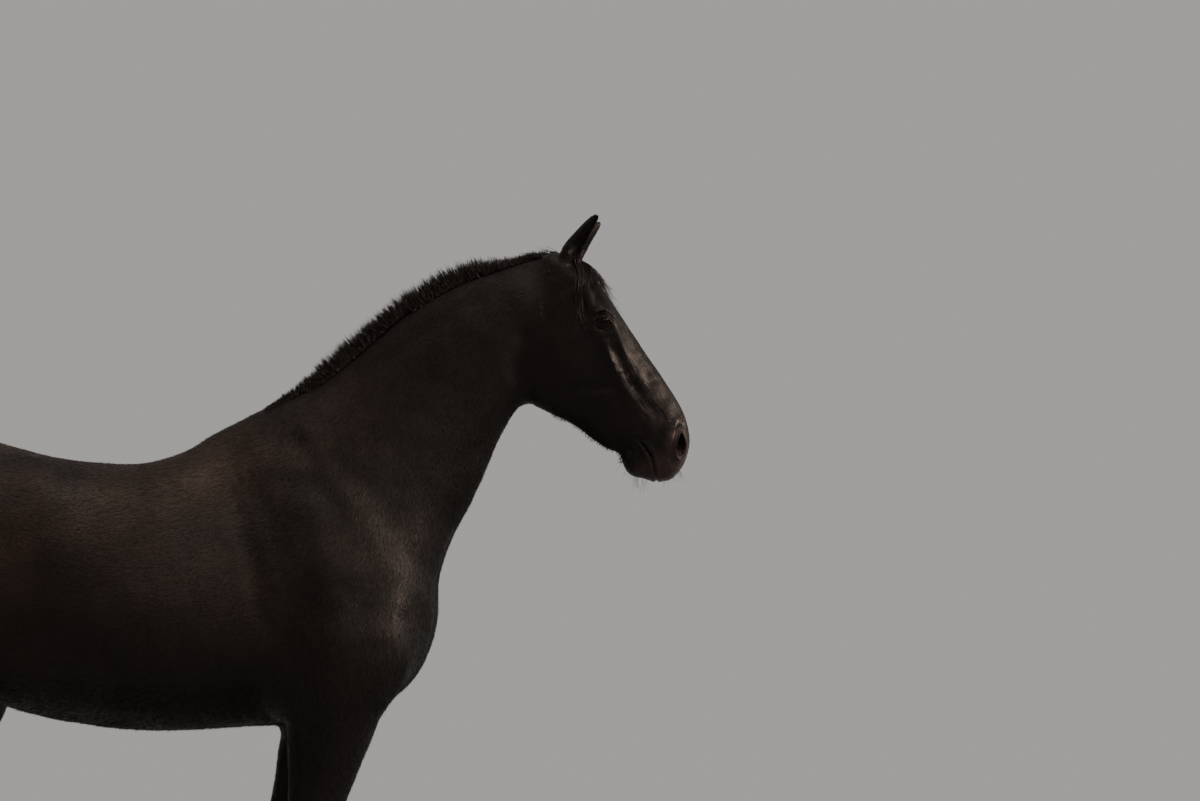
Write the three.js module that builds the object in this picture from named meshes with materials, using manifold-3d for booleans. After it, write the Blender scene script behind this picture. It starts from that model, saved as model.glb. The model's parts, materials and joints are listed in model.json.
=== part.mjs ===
// A life-size standing horse: a light riding horse of Iberian type with a hogged mane,
// a short forelock and a full tail. Millimetres, +X towards the nose, +Y to the horse's left,
// +Z up, origin on the ground under the middle of the length.
//
// The flesh is lofted through outline sections, joined into one body and parted again by
// thin cuts into head, neck, torso and leg lengths. Eyes, ears, hooves and tail are made
// on their own and fitted to it.
import * as THREE from "three";
import { LoftGeometry } from "three/addons/geometries/LoftGeometry.js";
import { mergeVertices } from "three/addons/utils/BufferGeometryUtils.js";
import Module from "manifold-3d";

const wasm = await Module();
wasm.setup();

// ---------------------------------------------------------------- driving dimensions

const GAP = 0.3; // left between pieces that touch
const SLANTED_GAP = 1.2 * GAP; // shift along one axis that leaves it on sloping faces
const HEAD_TILT = 63.7; // degrees of the face line below the horizontal
const POLL = [810, 2060]; // x and z of the point between the ears
const RING = { trunk: 28, head: 24, limb: 16, hoof: 16, ear: 12, ball: 12, tail: 10 }; // sides of each loft
const FILLET = { limb: 70, throat: 36 }; // how far from a crease the flesh rounds it
const STEPS = { trunk: 2, head: 2, limb: 1 }; // rings for each section given

const EYE = { u: 229, v: 23.5, y: 78, radius: 20, lid: 3.4, facing: [0.28, 0.03] };
const LIDS = { long: 42, high: 26, along: [0.65, 0.76] }; // opening; its corners lie along (u, v)
const NOSTRIL = { from: [560, 76], to: [620, 45], y: 43, width: 26, depth: 34, facing: [0.35, 0.34] };
const MOUTH = { corner: [530, -31], middle: [581, -13], front: [668, -42], opening: 2.4 };
const EAR = { u: 52, v: -4, y: 45, length: 150, wall: 3.2, tilt: 60, lean: 3, turn: 60 };
const MANE = { locks: 20, rows: 2, length: 50, width: 56, thick: 10, tip: 0.4, spread: 8, root: 16 };
const CLIPPED = { place: 0.88, long: 0.07, share: 0.62 }; // the mane's shorn stretch behind the ears
const FORELOCK = { locks: 6, spread: 34, width: 30, thick: 17 };
const POLL_LOCKS = { locks: 4, spread: 20, width: 30, thick: 12, length: 52, root: 30 };
const TAIL = { x: -1144, deep: 28, half: 58, locks: 13, width: 84, thick: 26, end: 330 };
const STANCE = {
  fore: { y: 130, pivot: 1250, right: 0, left: -165 },
  hind: { y: 125, pivot: 1200, right: -30, left: 120 },
};

// ---------------------------------------------------------------- outline sections

// A section spans from outline point a (top or front) to b (bottom or back), each [x, z].
// half is its half width, y its middle, mid where along b to a it is widest; pa and pb are
// the powers of its curve towards a and b: 2 is an ellipse, less is keener, more is squarer.
const section = (a, b, half, { mid = 0.5, pa = 2, pb = 2, y = 0 } = {}) => ({
  ax: a[0], az: a[1], bx: b[0], bz: b[1], half, mid, pa, pb, y,
});

// Buttocks to throat. The sections lean forward from the girth on, fanning into the neck.
const TRUNK = [
  section([-1078, 1392], [-1080, 1310], 46),
  section([-1064, 1450], [-1068, 1250], 122, { mid: 0.5 }),
  section([-1014, 1506], [-1022, 1190], 196, { mid: 0.48 }),
  section([-925, 1554], [-928, 1118], 240, { mid: 0.5, pa: 2.1 }),
  section([-808, 1588], [-808, 1045], 262, { mid: 0.54, pa: 2.1 }),
  section([-690, 1598], [-690, 975], 270, { mid: 0.6, pa: 2.1 }),
  section([-580, 1568], [-585, 914], 268, { mid: 0.56, pa: 2.2 }),
  section([-460, 1537], [-470, 882], 278, { mid: 0.52, pa: 2.2 }),
  section([-350, 1523], [-360, 864], 300, { mid: 0.47, pa: 2.1 }),
  section([-240, 1520], [-250, 852], 300, { mid: 0.46, pa: 2 }),
  section([-140, 1545], [-120, 851], 282, { mid: 0.45, pa: 1.8 }),
  section([-70, 1586], [20, 859], 256, { mid: 0.44, pa: 1.6 }),
  section([-25, 1610], [160, 866], 234, { mid: 0.44, pa: 1.5 }),
  section([5, 1626], [290, 871], 222, { mid: 0.46, pa: 1.5, pb: 1.9 }),
  section([25, 1637], [388, 916], 214, { mid: 0.47, pa: 1.5, pb: 2.3 }),
  section([47, 1648], [468, 1000], 206, { mid: 0.44, pa: 1.5, pb: 2.7 }),
  section([78, 1661], [507, 1115], 190, { mid: 0.43, pa: 1.5, pb: 2.8 }),
  section([126, 1684], [515, 1228], 166, { mid: 0.45, pa: 1.5, pb: 2.5 }),
  section([190, 1716], [552, 1335], 140, { mid: 0.47, pa: 1.5, pb: 2.1 }),
  section([262, 1767], [594, 1412], 122, { mid: 0.48, pa: 1.5 }),
  section([345, 1837], [624, 1476], 108, { mid: 0.5, pa: 1.5 }),
  section([440, 1911], [650, 1540], 98, { mid: 0.52, pa: 1.55 }),
  section([545, 1972], [681, 1604], 90, { mid: 0.54, pa: 1.6 }),
  section([650, 2007], [711, 1650], 84, { mid: 0.56, pa: 1.7 }),
  section([735, 2032], [750, 1682], 78, { mid: 0.58, pa: 1.8 }),
  section([795, 2038], [775, 1745], 66, { mid: 0.6, pa: 2 }),
];
const MANE_SPAN = [15.7, 24.6]; // the stretch of TRUNK that carries the mane
const FLANK_FADE = 100; // half width within which the trunk's forms die away

// Head, poll to lips, in its own frame: u runs down the face line from the poll, v towards
// the forehead.
const HEAD = [
  section([6, -14], [6, -50], 30),
  section([16, 4], [16, -62], 50, { mid: 0.5 }),
  section([50, 28], [50, -86], 66, { mid: 0.56 }),
  section([105, 52], [105, -122], 82, { mid: 0.68, pa: 2.3, pb: 2.4 }),
  section([165, 63], [165, -170], 90, { mid: 0.78, pa: 2.4, pb: 2.6 }),
  section([222, 70], [222, -206], 91, { mid: 0.82, pa: 2.4, pb: 2.9 }),
  section([270, 76], [270, -228], 84, { mid: 0.8, pa: 2.3, pb: 2.9 }),
  section([312, 81], [312, -236], 77, { mid: 0.745, pa: 2.2, pb: 2.6 }),
  section([352, 86], [352, -213], 71, { mid: 0.705, pa: 2.2, pb: 2.2 }),
  section([392, 92], [392, -181], 63, { mid: 0.66, pa: 2.1, pb: 1.9 }),
  section([432, 97], [432, -154], 55, { mid: 0.64, pa: 2.1, pb: 1.8 }),
  section([472, 101], [472, -134], 50, { mid: 0.62, pa: 2, pb: 1.8 }),
  section([508, 102], [508, -113], 49, { mid: 0.64, pa: 1.9, pb: 1.8 }),
  section([538, 99], [538, -89], 51, { mid: 0.66, pa: 1.9, pb: 1.9 }),
  section([566, 92], [566, -92], 54, { mid: 0.7, pa: 2, pb: 1.9 }),
  section([594, 80], [594, -89], 53, { mid: 0.7, pa: 2.1, pb: 1.9 }),
  section([620, 59], [620, -67], 47, { mid: 0.65, pa: 2.2, pb: 2 }),
  section([641, 32], [641, -37], 35, { mid: 0.55, pa: 2.2, pb: 2.1 }),
  section([651, 9], [651, -13], 18),
];

const FACE_FADE = 20;

// Fore limb, shoulder blade to coronet: a is the front outline, b the back.
const FORE_LIMB = [
  section([110, 1480], [0, 1450], 34, { y: 70 }),
  section([225, 1402], [10, 1370], 46, { y: 96, pa: 1.8, pb: 1.6 }),
  section([335, 1302], [38, 1270], 66, { y: 125, pa: 1.8, pb: 1.6 }),
  section([415, 1205], [68, 1172], 84, { y: 140, pa: 1.8, pb: 1.6 }),
  section([470, 1118], [90, 1080], 96, { y: 146, pa: 1.9, pb: 1.6 }),
  section([480, 1035], [108, 1005], 98, { y: 145, pa: 1.9, pb: 1.6 }),
  section([450, 962], [128, 948], 94, { y: 142, pb: 1.8 }),
  section([394, 893], [148, 885], 82, { y: 140 }),
  section([366, 828], [158, 820], 70, { y: 134 }),
  section([331, 745], [162, 740], 60, { y: 130 }),
  section([300, 668], [160, 665], 52, { y: 130 }),
  section([272, 595], [155, 595], 46, { y: 130 }),
  section([262, 545], [149, 545], 48, { y: 130, pa: 2.3 }),
  section([266, 500], [142, 502], 52, { y: 130, pa: 2.6 }),
  section([257, 455], [157, 455], 47, { y: 130, pa: 2.5 }),
  section([238, 415], [163, 415], 35, { y: 130 }),
  section([234, 370], [163, 370], 31, { y: 130 }),
  section([233, 310], [161, 310], 31, { y: 130 }),
  section([244, 258], [150, 252], 41, { y: 130 }),
  section([252, 225], [152, 205], 38, { y: 130 }),
  section([268, 180], [182, 150], 33, { y: 130 }),
  section([284, 140], [198, 100], 39, { y: 130 }),
  section([298, 104], [201, 62], 50, { y: 130 }),
];

// Hind limb, croup to coronet.
const HIND_LIMB = [
  section([-660, 1530], [-900, 1492], 56, { y: 104 }),
  section([-600, 1455], [-965, 1422], 88, { y: 118, pa: 1.6, pb: 1.9, mid: 0.48 }),
  section([-560, 1362], [-1036, 1337], 120, { y: 132, pa: 1.5, pb: 2.1, mid: 0.46 }),
  section([-530, 1250], [-1080, 1238], 139, { y: 137, pa: 1.5, pb: 2.3, mid: 0.45 }),
  section([-530, 1120], [-1080, 1138], 139, { y: 137, pa: 1.6, pb: 2.3, mid: 0.45 }),
  section([-558, 1020], [-1050, 1042], 123, { y: 136, pa: 1.8, pb: 2.2, mid: 0.47 }),
  section([-600, 940], [-1014, 955], 98, { y: 134 }),
  section([-660, 865], [-1000, 878], 78, { y: 130 }),
  section([-742, 788], [-1004, 804], 63, { y: 128 }),
  section([-822, 718], [-1032, 738], 52, { y: 126 }),
  section([-888, 662], [-1068, 686], 46, { y: 125 }),
  section([-928, 614], [-1086, 644], 47, { y: 125, pb: 1.7 }),
  section([-946, 564], [-1071, 582], 47, { y: 125, pa: 2.3 }),
  section([-958, 515], [-1058, 522], 40, { y: 125 }),
  section([-970, 450], [-1053, 452], 34, { y: 125 }),
  section([-974, 380], [-1054, 380], 32, { y: 125 }),
  section([-976, 315], [-1056, 314], 33, { y: 125 }),
  section([-966, 262], [-1068, 254], 42, { y: 125 }),
  section([-956, 228], [-1062, 206], 39, { y: 125 }),
  section([-936, 180], [-1030, 152], 34, { y: 125 }),
  section([-918, 140], [-1008, 102], 39, { y: 125 }),
  section([-903, 104], [-1000, 62], 48, { y: 125 }),
];

// Hoof, coronet to ground; x is measured from the front of the coronet.
const HOOF = [
  section([2, 103.65], [-96, 61.65], 51, { mid: 0.52 }),
  section([12, 91], [-97, 54], 55, { mid: 0.52, pa: 2.1, pb: 2.3 }),
  section([50, 26], [-95, 18], 63, { pa: 2.2, pb: 2.6 }),
  section([62, 4], [-91, 4], 66, { pa: 2.2, pb: 2.7 }),
  section([60, 0], [-89, 0], 64, { pa: 2.2, pb: 2.7 }),
];
const CORONET = { fore: 298, hind: -903 };

// Dock of the tail, root to tip: a runs along its under side.
const DOCK = [
  section([-1012, 1402], [-976, 1506], 44),
  section([-1076, 1388], [-1054, 1496], 46),
  section([-1098, 1352], [-1112, 1458], 46),
  section([-1104, 1310], [-1146, 1388], 44),
  section([-1108, 1250], [-1154, 1284], 42),
  section([-1112, 1130], [-1154, 1136], 38),
  section([-1116, 1000], [-1148, 1000], 28),
  section([-1124, 910], [-1140, 910], 10),
];

// Where the body is parted, as lines in the x-z plane.
const PARTING = {
  poll: [[800, 2300], [800, 2040], [756, 1950], [718, 1860], [710, 1770], [716, 1690], [740, 1300]],
  withers: [[20, 1622], [522, 1200]],
  elbow: [[140, 811], [430, 876]],
  stifle: [[-1080, 1184], [-540, 852]],
  knee: 428,
  hock: 556,
};

// Forms that stand out of the sides of the trunk and the head, or sink into them: middle x and
// z, half length and half height, how far they rise, and their turn in degrees.
const form = (x, z, long, high, rise, turn = 0) => ({ x, z, long, high, rise, turn });
const TRUNK_FORMS = {
  shoulderBlade: form(215, 1370, 70, 170, 10, 35),
  upperArm: form(285, 1150, 130, 150, 24),
  haunch: form(-835, 1245, 200, 130, 26),
  hip: form(-690, 1500, 70, 50, 12),
};
const HEAD_FORMS = {
  brow: form(214, 36, 44, 30, 10),
  templeHollow: form(176, 40, 16, 14, -4),
  facialCrest: form(326, -2, 62, 12, 6),
  earRoot: form(40, 0, 30, 30, 9),
  nostrilWing: form(586, 60, 34, 26, 5),
  jowl: form(250, -120, 90, 70, 5),
};

// ---------------------------------------------------------------- lofting

const rad = THREE.MathUtils.degToRad;
const clampIndex = (list, i) => list[Math.min(Math.max(i, 0), list.length - 1)];

function catmullRom(p, q, r, s, t) {
  const [pull, push] = [(r - p) / 2, (s - q) / 2];
  return q + pull * t + (3 * (r - q) - 2 * pull - push) * t * t + (2 * (q - r) + pull + push) * t ** 3;
}

// The section at a fractional place in a list, on a smooth curve through all of them.
function sectionAt(stations, place) {
  const i = Math.min(Math.floor(place), stations.length - 2);
  const near = [i - 1, i, i + 1, i + 2].map((k) => clampIndex(stations, k));
  const blend = (key) => catmullRom(...near.map((s) => s[key]), place - i);
  return Object.fromEntries(Object.keys(stations[0]).map((key) => [key, blend(key)]));
}

function ringOf(s, sides) {
  const bow = (value, power) => Math.sign(value) * Math.abs(value) ** (2 / power);
  return Array.from({ length: sides }, (_, j) => {
    const angle = (2 * Math.PI * j) / sides;
    const [across, along] = [Math.cos(angle), Math.sin(angle)];
    const power = along >= 0 ? s.pa : s.pb;
    const reach = s.mid + bow(along, power) * (along >= 0 ? 1 - s.mid : s.mid);
    return new THREE.Vector3(
      s.bx + (s.ax - s.bx) * reach,
      s.y + s.half * bow(across, power),
      s.bz + (s.az - s.bz) * reach,
    );
  });
}

const capped = (rings) => new LoftGeometry(rings, { capStart: true, capEnd: true });

function loft(stations, sides, steps = 1) {
  const count = (stations.length - 1) * steps;
  return capped(Array.from({ length: count + 1 }, (_, k) => ringOf(sectionAt(stations, k / steps), sides)));
}

// Pushes both sides of a loft out to its forms, less and less towards its middle line.
function withForms(geometry, forms, fadeOver) {
  const { position } = geometry.attributes;
  for (let i = 0; i < position.count; i++) {
    const [x, y, z] = [position.getX(i), position.getY(i), position.getZ(i)];
    const rises = Object.values(forms).map((one) => {
      const off = new THREE.Vector2(x - one.x, z - one.z).rotateAround({ x: 0, y: 0 }, -rad(one.turn));
      return one.rise * Math.exp(-((off.x / one.long) ** 2) - (off.y / one.high) ** 2);
    });
    const fade = Math.min(1, Math.abs(y) / fadeOver);
    position.setY(i, y + Math.sign(y) * fade * rises.reduce((sum, rise) => sum + rise));
  }
  return geometry;
}

// ---------------------------------------------------------------- solids

// The same shape with nothing but its points and faces, each point only once.
function bare({ attributes, index }) {
  const points = new THREE.BufferGeometry().setAttribute("position", attributes.position);
  return mergeVertices(points.setIndex(index), 1e-3);
}

function solid(geometry) {
  const { attributes, index } = bare(geometry);
  return new wasm.Manifold(
    new wasm.Mesh({
      numProp: 3,
      vertProperties: attributes.position.array,
      triVerts: new Uint32Array(index.array),
    }),
  );
}

function geometryOf(shape) {
  const mesh = shape.getMesh();
  const geometry = new THREE.BufferGeometry();
  geometry.setAttribute("position", new THREE.BufferAttribute(mesh.vertProperties, 3));
  geometry.setIndex(new THREE.BufferAttribute(mesh.triVerts, 1));
  geometry.computeVertexNormals();
  return geometry;
}

const join = (shapes) => shapes.reduce((all, one) => all.add(one));
const largest = (shape) => shape.decompose().sort((p, q) => q.volume() - p.volume())[0];

function trianglesOf(geometry) {
  const { attributes, index } = bare(geometry);
  const corner = (k) => new THREE.Vector3().fromBufferAttribute(attributes.position, index.getX(k));
  return Array.from({ length: index.count / 3 }, (_, i) => {
    const triangle = new THREE.Triangle(corner(3 * i), corner(3 * i + 1), corner(3 * i + 2));
    return { triangle, facing: triangle.getNormal(new THREE.Vector3()) };
  });
}

// Swells a shape where it comes near its neighbours, most at the crease between them, so
// that the one runs into the other.
function filleted(geometry, neighbours, reach) {
  const swollen = bare(geometry);
  swollen.computeVertexNormals();
  const { position, normal } = swollen.attributes;
  const triangles = neighbours.flatMap(trianglesOf);
  const near = new THREE.Vector3();
  for (let i = 0; i < position.count; i++) {
    const point = new THREE.Vector3().fromBufferAttribute(position, i);
    const outward = new THREE.Vector3().fromBufferAttribute(normal, i);
    let [closest, facing] = [reach, outward];
    for (const side of triangles) {
      const distance = side.triangle.closestPointToPoint(point, near).distanceTo(point);
      if (distance < closest) [closest, facing] = [distance, side.facing];
    }
    const crease = Math.sqrt(Math.max(0, 1 - outward.dot(facing)));
    point.addScaledVector(outward, (crease * (reach - closest) ** 2) / (4 * reach));
    position.setXYZ(i, ...point);
  }
  return swollen;
}

// A wide slab that fills a polygon of the x-z plane from side to side.
function slab(points) {
  const outline = new THREE.Shape(points.map(([x, z]) => new THREE.Vector2(x, z)));
  const geometry = new THREE.ExtrudeGeometry(outline, { depth: 1200, bevelEnabled: false });
  return solid(geometry.rotateX(Math.PI / 2).translate(0, 600, 0));
}

// Both parts of a shape on either side of a line drawn through two points; the first is the
// one above it, and a gap is left between them.
function partAbove(shape, [[x0, z0], [x1, z1]]) {
  const normal = new THREE.Vector2(z0 - z1, x1 - x0).normalize();
  const offset = normal.x * x0 + normal.y * z0;
  const above = shape.trimByPlane([normal.x, 0, normal.y], offset + GAP / 2);
  const below = shape.trimByPlane([-normal.x, 0, -normal.y], -offset + GAP / 2);
  return [above, below];
}

const level = (z) => [[-2000, z], [2000, z]];

// ---------------------------------------------------------------- head frame

const headFrame = new THREE.Matrix4()
  .makeRotationY(rad(HEAD_TILT))
  .setPosition(POLL[0], 0, POLL[1]);
const SIDES = { right: -1, left: 1 };

// ---------------------------------------------------------------- eyes

// The turn that looks out along one eye's axis: local Z points out, local X towards the nose.
function outward({ u, v, y, facing }, side, along = [1, 0]) {
  const out = new THREE.Vector3(facing[0], side, facing[1]).normalize();
  const towards = new THREE.Vector3(along[0], 0, along[1]);
  const across = new THREE.Vector3().crossVectors(out, towards).normalize();
  const run = new THREE.Vector3().crossVectors(across, out);
  const turn = new THREE.Matrix4().makeBasis(run, across, out).setPosition(u, side * y, v);
  return turn.premultiply(headFrame);
}

function eyeBall(side, radius) {
  const ball = new THREE.SphereGeometry(radius, RING.ball, RING.ball / 2 + 1);
  return solid(ball.applyMatrix4(outward(EYE, side)));
}

// The almond between the lids, cut from the middle of the eye outwards.
function lidSlit(side) {
  const { long, high, along } = LIDS;
  const almond = new THREE.Shape().moveTo(-long / 2, 0);
  almond.quadraticCurveTo(0, high, long / 2, 0);
  almond.quadraticCurveTo(0, -high, -long / 2, 0);
  const settings = { depth: 2 * EYE.radius, bevelEnabled: false, curveSegments: 4 };
  const slit = new THREE.ExtrudeGeometry(almond, settings);
  return solid(slit.applyMatrix4(outward(EYE, side, along)));
}

// ---------------------------------------------------------------- nostrils and mouth

// A slanting oval pit that narrows as it runs in.
function nostrilPit(side) {
  const { from, to, y, width, depth, facing } = NOSTRIL;
  const long = Math.hypot(to[0] - from[0], to[1] - from[1]);
  const place = { u: (from[0] + to[0]) / 2, v: (from[1] + to[1]) / 2, y, facing };
  const pit = new THREE.CylinderGeometry(1.6, 0.4, 2 * depth, 12, 1).rotateX(Math.PI / 2);
  pit.scale(long / 2, width / 2, 1);
  return solid(pit.applyMatrix4(outward(place, side, [to[0] - from[0], to[1] - from[1]])));
}

// The closed mouth is a thin slot between the lips, from the corners round the front.
function mouthSlot() {
  const { corner, middle, front, opening } = MOUTH;
  const shape = new THREE.Shape().moveTo(...corner);
  shape.quadraticCurveTo(middle[0], middle[1] - opening / 2, front[0], front[1] - opening / 2);
  shape.lineTo(front[0], front[1] + opening / 2);
  shape.quadraticCurveTo(middle[0], middle[1] + opening / 2, ...corner);
  const slot = new THREE.ExtrudeGeometry(shape, { depth: 160, bevelEnabled: false, curveSegments: 6 });
  return solid(slot.rotateX(Math.PI / 2).translate(0, 80, 0).applyMatrix4(headFrame));
}

// ---------------------------------------------------------------- ears

// Height along the ear, half depth front to back, half width.
const EAR_FORM = [
  [0, 25, 24], [0.18, 26, 25], [0.38, 22, 22.5], [0.6, 18, 18], [0.8, 13.5, 14], [0.93, 9, 10], [1, 3.5, 5],
].map(([t, deep, wide]) => ({ t, deep, wide }));

// Rings of the ear: its skin, or the hollow of its cup, which lies forward and opens there.
function earRings(side, hollow, grow) {
  const rings = 8;
  return Array.from({ length: rings + 1 }, (_, k) => {
    const place = hollow ? 1.1 + (4.75 * k) / rings : (6 * k) / rings;
    const { t, deep, wide } = sectionAt(EAR_FORM, place);
    const swell = hollow ? Math.min(1, Math.sqrt((k + 0.3) / 2)) : 1;
    const wall = hollow ? -EAR.wall : grow;
    const middle = 17 * t * t - 6 * t + (hollow ? 0.62 * deep : 0);
    return Array.from({ length: RING.ear }, (_, j) => {
      const angle = (2 * Math.PI * j) / RING.ear;
      const back = Math.max(deep + wall, 1) * swell * Math.sin(angle);
      const out = Math.max(wide + wall, 1) * swell * Math.cos(angle);
      return new THREE.Vector3(middle - back, out - 8 * t * t * side, t * EAR.length + grow * (2 * t - 1));
    });
  });
}

function earPlaced(side, hollow, grow = 0) {
  const place = new THREE.Matrix4()
    .makeTranslation(new THREE.Vector3(EAR.u, side * EAR.y, EAR.v).applyMatrix4(headFrame))
    .multiply(new THREE.Matrix4().makeRotationY(rad(90 - EAR.tilt)))
    .multiply(new THREE.Matrix4().makeRotationX(rad(-side * EAR.lean)))
    .multiply(new THREE.Matrix4().makeRotationZ(rad(side * EAR.turn)));
  return solid(capped(earRings(side, hollow, grow)).applyMatrix4(place));
}

// ---------------------------------------------------------------- locks of hair

// Seeded draw between -1 and 1, so that every build gives the same hair.
function randomFrom(seed) {
  let state = seed;
  return () => {
    state = (state * 1664525 + 1013904223) % 4294967296;
    return (state / 4294967296) * 2 - 1;
  };
}

// A flat lock along a path, full near its root and drawn in to its tip, a share of its width.
// flat is the way its width lies.
function lock(path, flat, width, thick, tip = 0.1) {
  const last = path.length - 1;
  const rings = path.map((point, i) => {
    const t = i / last;
    const tangent = clampIndex(path, i + 1).clone().sub(clampIndex(path, i - 1)).normalize();
    const normal = new THREE.Vector3().crossVectors(tangent, flat).normalize();
    const side = new THREE.Vector3().crossVectors(normal, tangent);
    const body = Math.min(1, 0.7 + t) * (1 - (1 - tip) * t ** 2.5);
    return [0, 1, 2, 3].map((k) => {
      const angle = (k * Math.PI) / 2;
      return point
        .clone()
        .addScaledVector(side, (Math.cos(angle) * body * width) / 2)
        .addScaledVector(normal, (Math.sin(angle) * body * thick) / 2);
    });
  });
  return solid(capped(rings));
}

// Hogged mane: short upright locks in two rows along the crest, leaning out a little.
function mane() {
  const random = randomFrom(7);
  const [first, last] = MANE_SPAN;
  return Array.from({ length: MANE.locks * MANE.rows }, (_, i) => {
    const side = i % 2 ? 1 : -1;
    const share = (i + 0.5) / (MANE.locks * MANE.rows);
    const here = sectionAt(TRUNK, first + (last - first) * share);
    const ahead = sectionAt(TRUNK, first + (last - first) * share + 0.2);
    const forward = new THREE.Vector3(ahead.ax - here.ax, 0, ahead.az - here.az).normalize();
    const up = new THREE.Vector3(-forward.z, 0, forward.x);
    const grown = 0.12 + 0.98 * THREE.MathUtils.smoothstep(share, 0.02, 0.26);
    const clipped = CLIPPED.share * Math.exp(-(((share - CLIPPED.place) / CLIPPED.long) ** 2));
    const length = MANE.length * grown * (1 - clipped) * (1.02 - 0.34 * share ** 3) * (1 + 0.12 * random());
    const lean = 0.18 * random() - 0.05;
    const root = new THREE.Vector3(here.ax, side * 3, here.az).addScaledVector(up, -MANE.root);
    const path = [0, 0.55, 1].map((t) =>
      root
        .clone()
        .addScaledVector(up, t * (length + MANE.root))
        .addScaledVector(forward, length * lean * t * t)
        .add(new THREE.Vector3(0, side * MANE.spread * t * t, 0)),
    );
    return lock(path, forward, MANE.width, MANE.thick, MANE.tip);
  });
}

const onHead = (path) => path.map((point) => new THREE.Vector3(...point).applyMatrix4(headFrame));

// Forelock: from between the ears it arches over the forehead, its tips standing off, and the
// outermost locks drape past the ears to the temples.
function forelock() {
  const random = randomFrom(21);
  const flat = new THREE.Vector3(0, 1, 0);
  return Array.from({ length: FORELOCK.locks }, (_, i) => {
    const across = (2 * i) / (FORELOCK.locks - 1) - 1;
    const lift = 9 * random();
    const reach = 0.94 + 0.12 * random();
    const rooted = [[12, 0.5, -22], [32, 0.7, 30], [66, 0.9, 50 + lift]];
    const free = [[104, 1, 58 + lift], [140, 1.05, 66 + lift], [182, 1.1, 80 + 2 * lift]];
    const path = [...rooted, ...free].map(([u, out, v]) => [u * reach, FORELOCK.spread * across * out, v]);
    return lock(onHead(path), flat, FORELOCK.width, FORELOCK.thick);
  });
}

function templeLock(side) {
  const path = [[14, 18, -20], [34, 34, 28], [58, 54, 36], [90, 70, 22], [134, 88, 2], [184, 95, -24]];
  const flat = new THREE.Vector3(0.5, side * 0.6, 0.6).normalize();
  return lock(onHead(path.map(([u, y, v]) => [u, side * y, v])), flat, FORELOCK.width, FORELOCK.thick);
}

// Short upright locks on the poll, behind the forelock, tipped back.
function pollLocks() {
  const random = randomFrom(33);
  const flat = new THREE.Vector3(0, 1, 0);
  return Array.from({ length: POLL_LOCKS.locks }, (_, i) => {
    const y = POLL_LOCKS.spread * ((2 * i) / (POLL_LOCKS.locks - 1) - 1);
    const x = POLL[0] + 18 + 4 * random();
    const height = POLL_LOCKS.length * (1 + 0.12 * random());
    const path = [0, 0.4, 0.75, 1].map(
      (t) => new THREE.Vector3(x - 16 * t * t, y * (1 + 0.3 * t), POLL[1] - POLL_LOCKS.root + height * t),
    );
    return lock(path, flat, POLL_LOCKS.width, POLL_LOCKS.thick);
  });
}

// Tail: long locks laid round the dock in turn, bending down from it and drawing together.
function tailLocks() {
  const random = randomFrom(5);
  return Array.from({ length: TAIL.locks }, (_, i) => {
    const turn = (i * 2 * Math.PI * 0.382) % (2 * Math.PI);
    const root = sectionAt(DOCK, 1.7 + (i % 5) * 0.7);
    const end = TAIL.end + 170 * Math.abs(random());
    const sway = 16 * random();
    const path = [0, 0.14, 0.36, 0.64, 0.86, 1].map((t) => {
      const swell = Math.sin(Math.PI * (0.16 + t * 0.74)) ** 0.5;
      const drift = THREE.MathUtils.smoothstep(t, 0, 0.3);
      return new THREE.Vector3(
        THREE.MathUtils.lerp((root.ax + root.bx) / 2, TAIL.x, drift) - Math.cos(turn) * TAIL.deep * swell,
        Math.sin(turn) * TAIL.half * swell + sway * t * t,
        THREE.MathUtils.lerp((root.az + root.bz) / 2, end, t),
      );
    });
    const flat = new THREE.Vector3(Math.sin(turn), Math.cos(turn), 0);
    return lock(path, flat, TAIL.width, TAIL.thick);
  });
}

// ---------------------------------------------------------------- assembly

// Sets a limb's side and stance: under its pivot it shears, so its hoof stands ahead or behind.
function stand(stations, { pivot, ...strides }, name) {
  const reach = (z) => Math.min(1, Math.max(0, (pivot - z) / (pivot - 104))) * strides[name];
  return stations.map((s) => ({
    ...s,
    ax: s.ax + reach(s.az),
    bx: s.bx + reach(s.bz),
    y: s.y * SIDES[name],
  }));
}

const FINISH = {
  coat: new THREE.MeshStandardMaterial({ color: 0x1b1714, roughness: 0.5 }),
  hair: new THREE.MeshStandardMaterial({ color: 0x0d0b0b, roughness: 0.5 }),
  horn: new THREE.MeshStandardMaterial({ color: 0x2b2623, roughness: 0.55 }),
  eye: new THREE.MeshStandardMaterial({ color: 0x130b07, roughness: 0.08 }),
};
const horse = new THREE.Group();

function addNode(name, shape, material) {
  const mesh = new THREE.Mesh(geometryOf(largest(shape)), material);
  mesh.name = name;
  horse.add(mesh);
}

const trunk = withForms(loft(TRUNK, RING.trunk, STEPS.trunk), TRUNK_FORMS, FLANK_FADE);
const skull = withForms(loft(HEAD, RING.head, STEPS.head), HEAD_FORMS, FACE_FADE).applyMatrix4(headFrame);
const limbs = Object.keys(SIDES).map((name) => ({
  name,
  fore: loft(stand(FORE_LIMB, STANCE.fore, name), RING.limb, STEPS.limb),
  hind: loft(stand(HIND_LIMB, STANCE.hind, name), RING.limb, STEPS.limb),
}));
const limbShapes = limbs.flatMap(({ fore, hind }) => [fore, hind]);
const flesh = [
  solid(filleted(filleted(trunk, limbShapes, FILLET.limb), [skull], FILLET.throat)),
  solid(filleted(skull, [trunk], FILLET.throat)),
];

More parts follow.
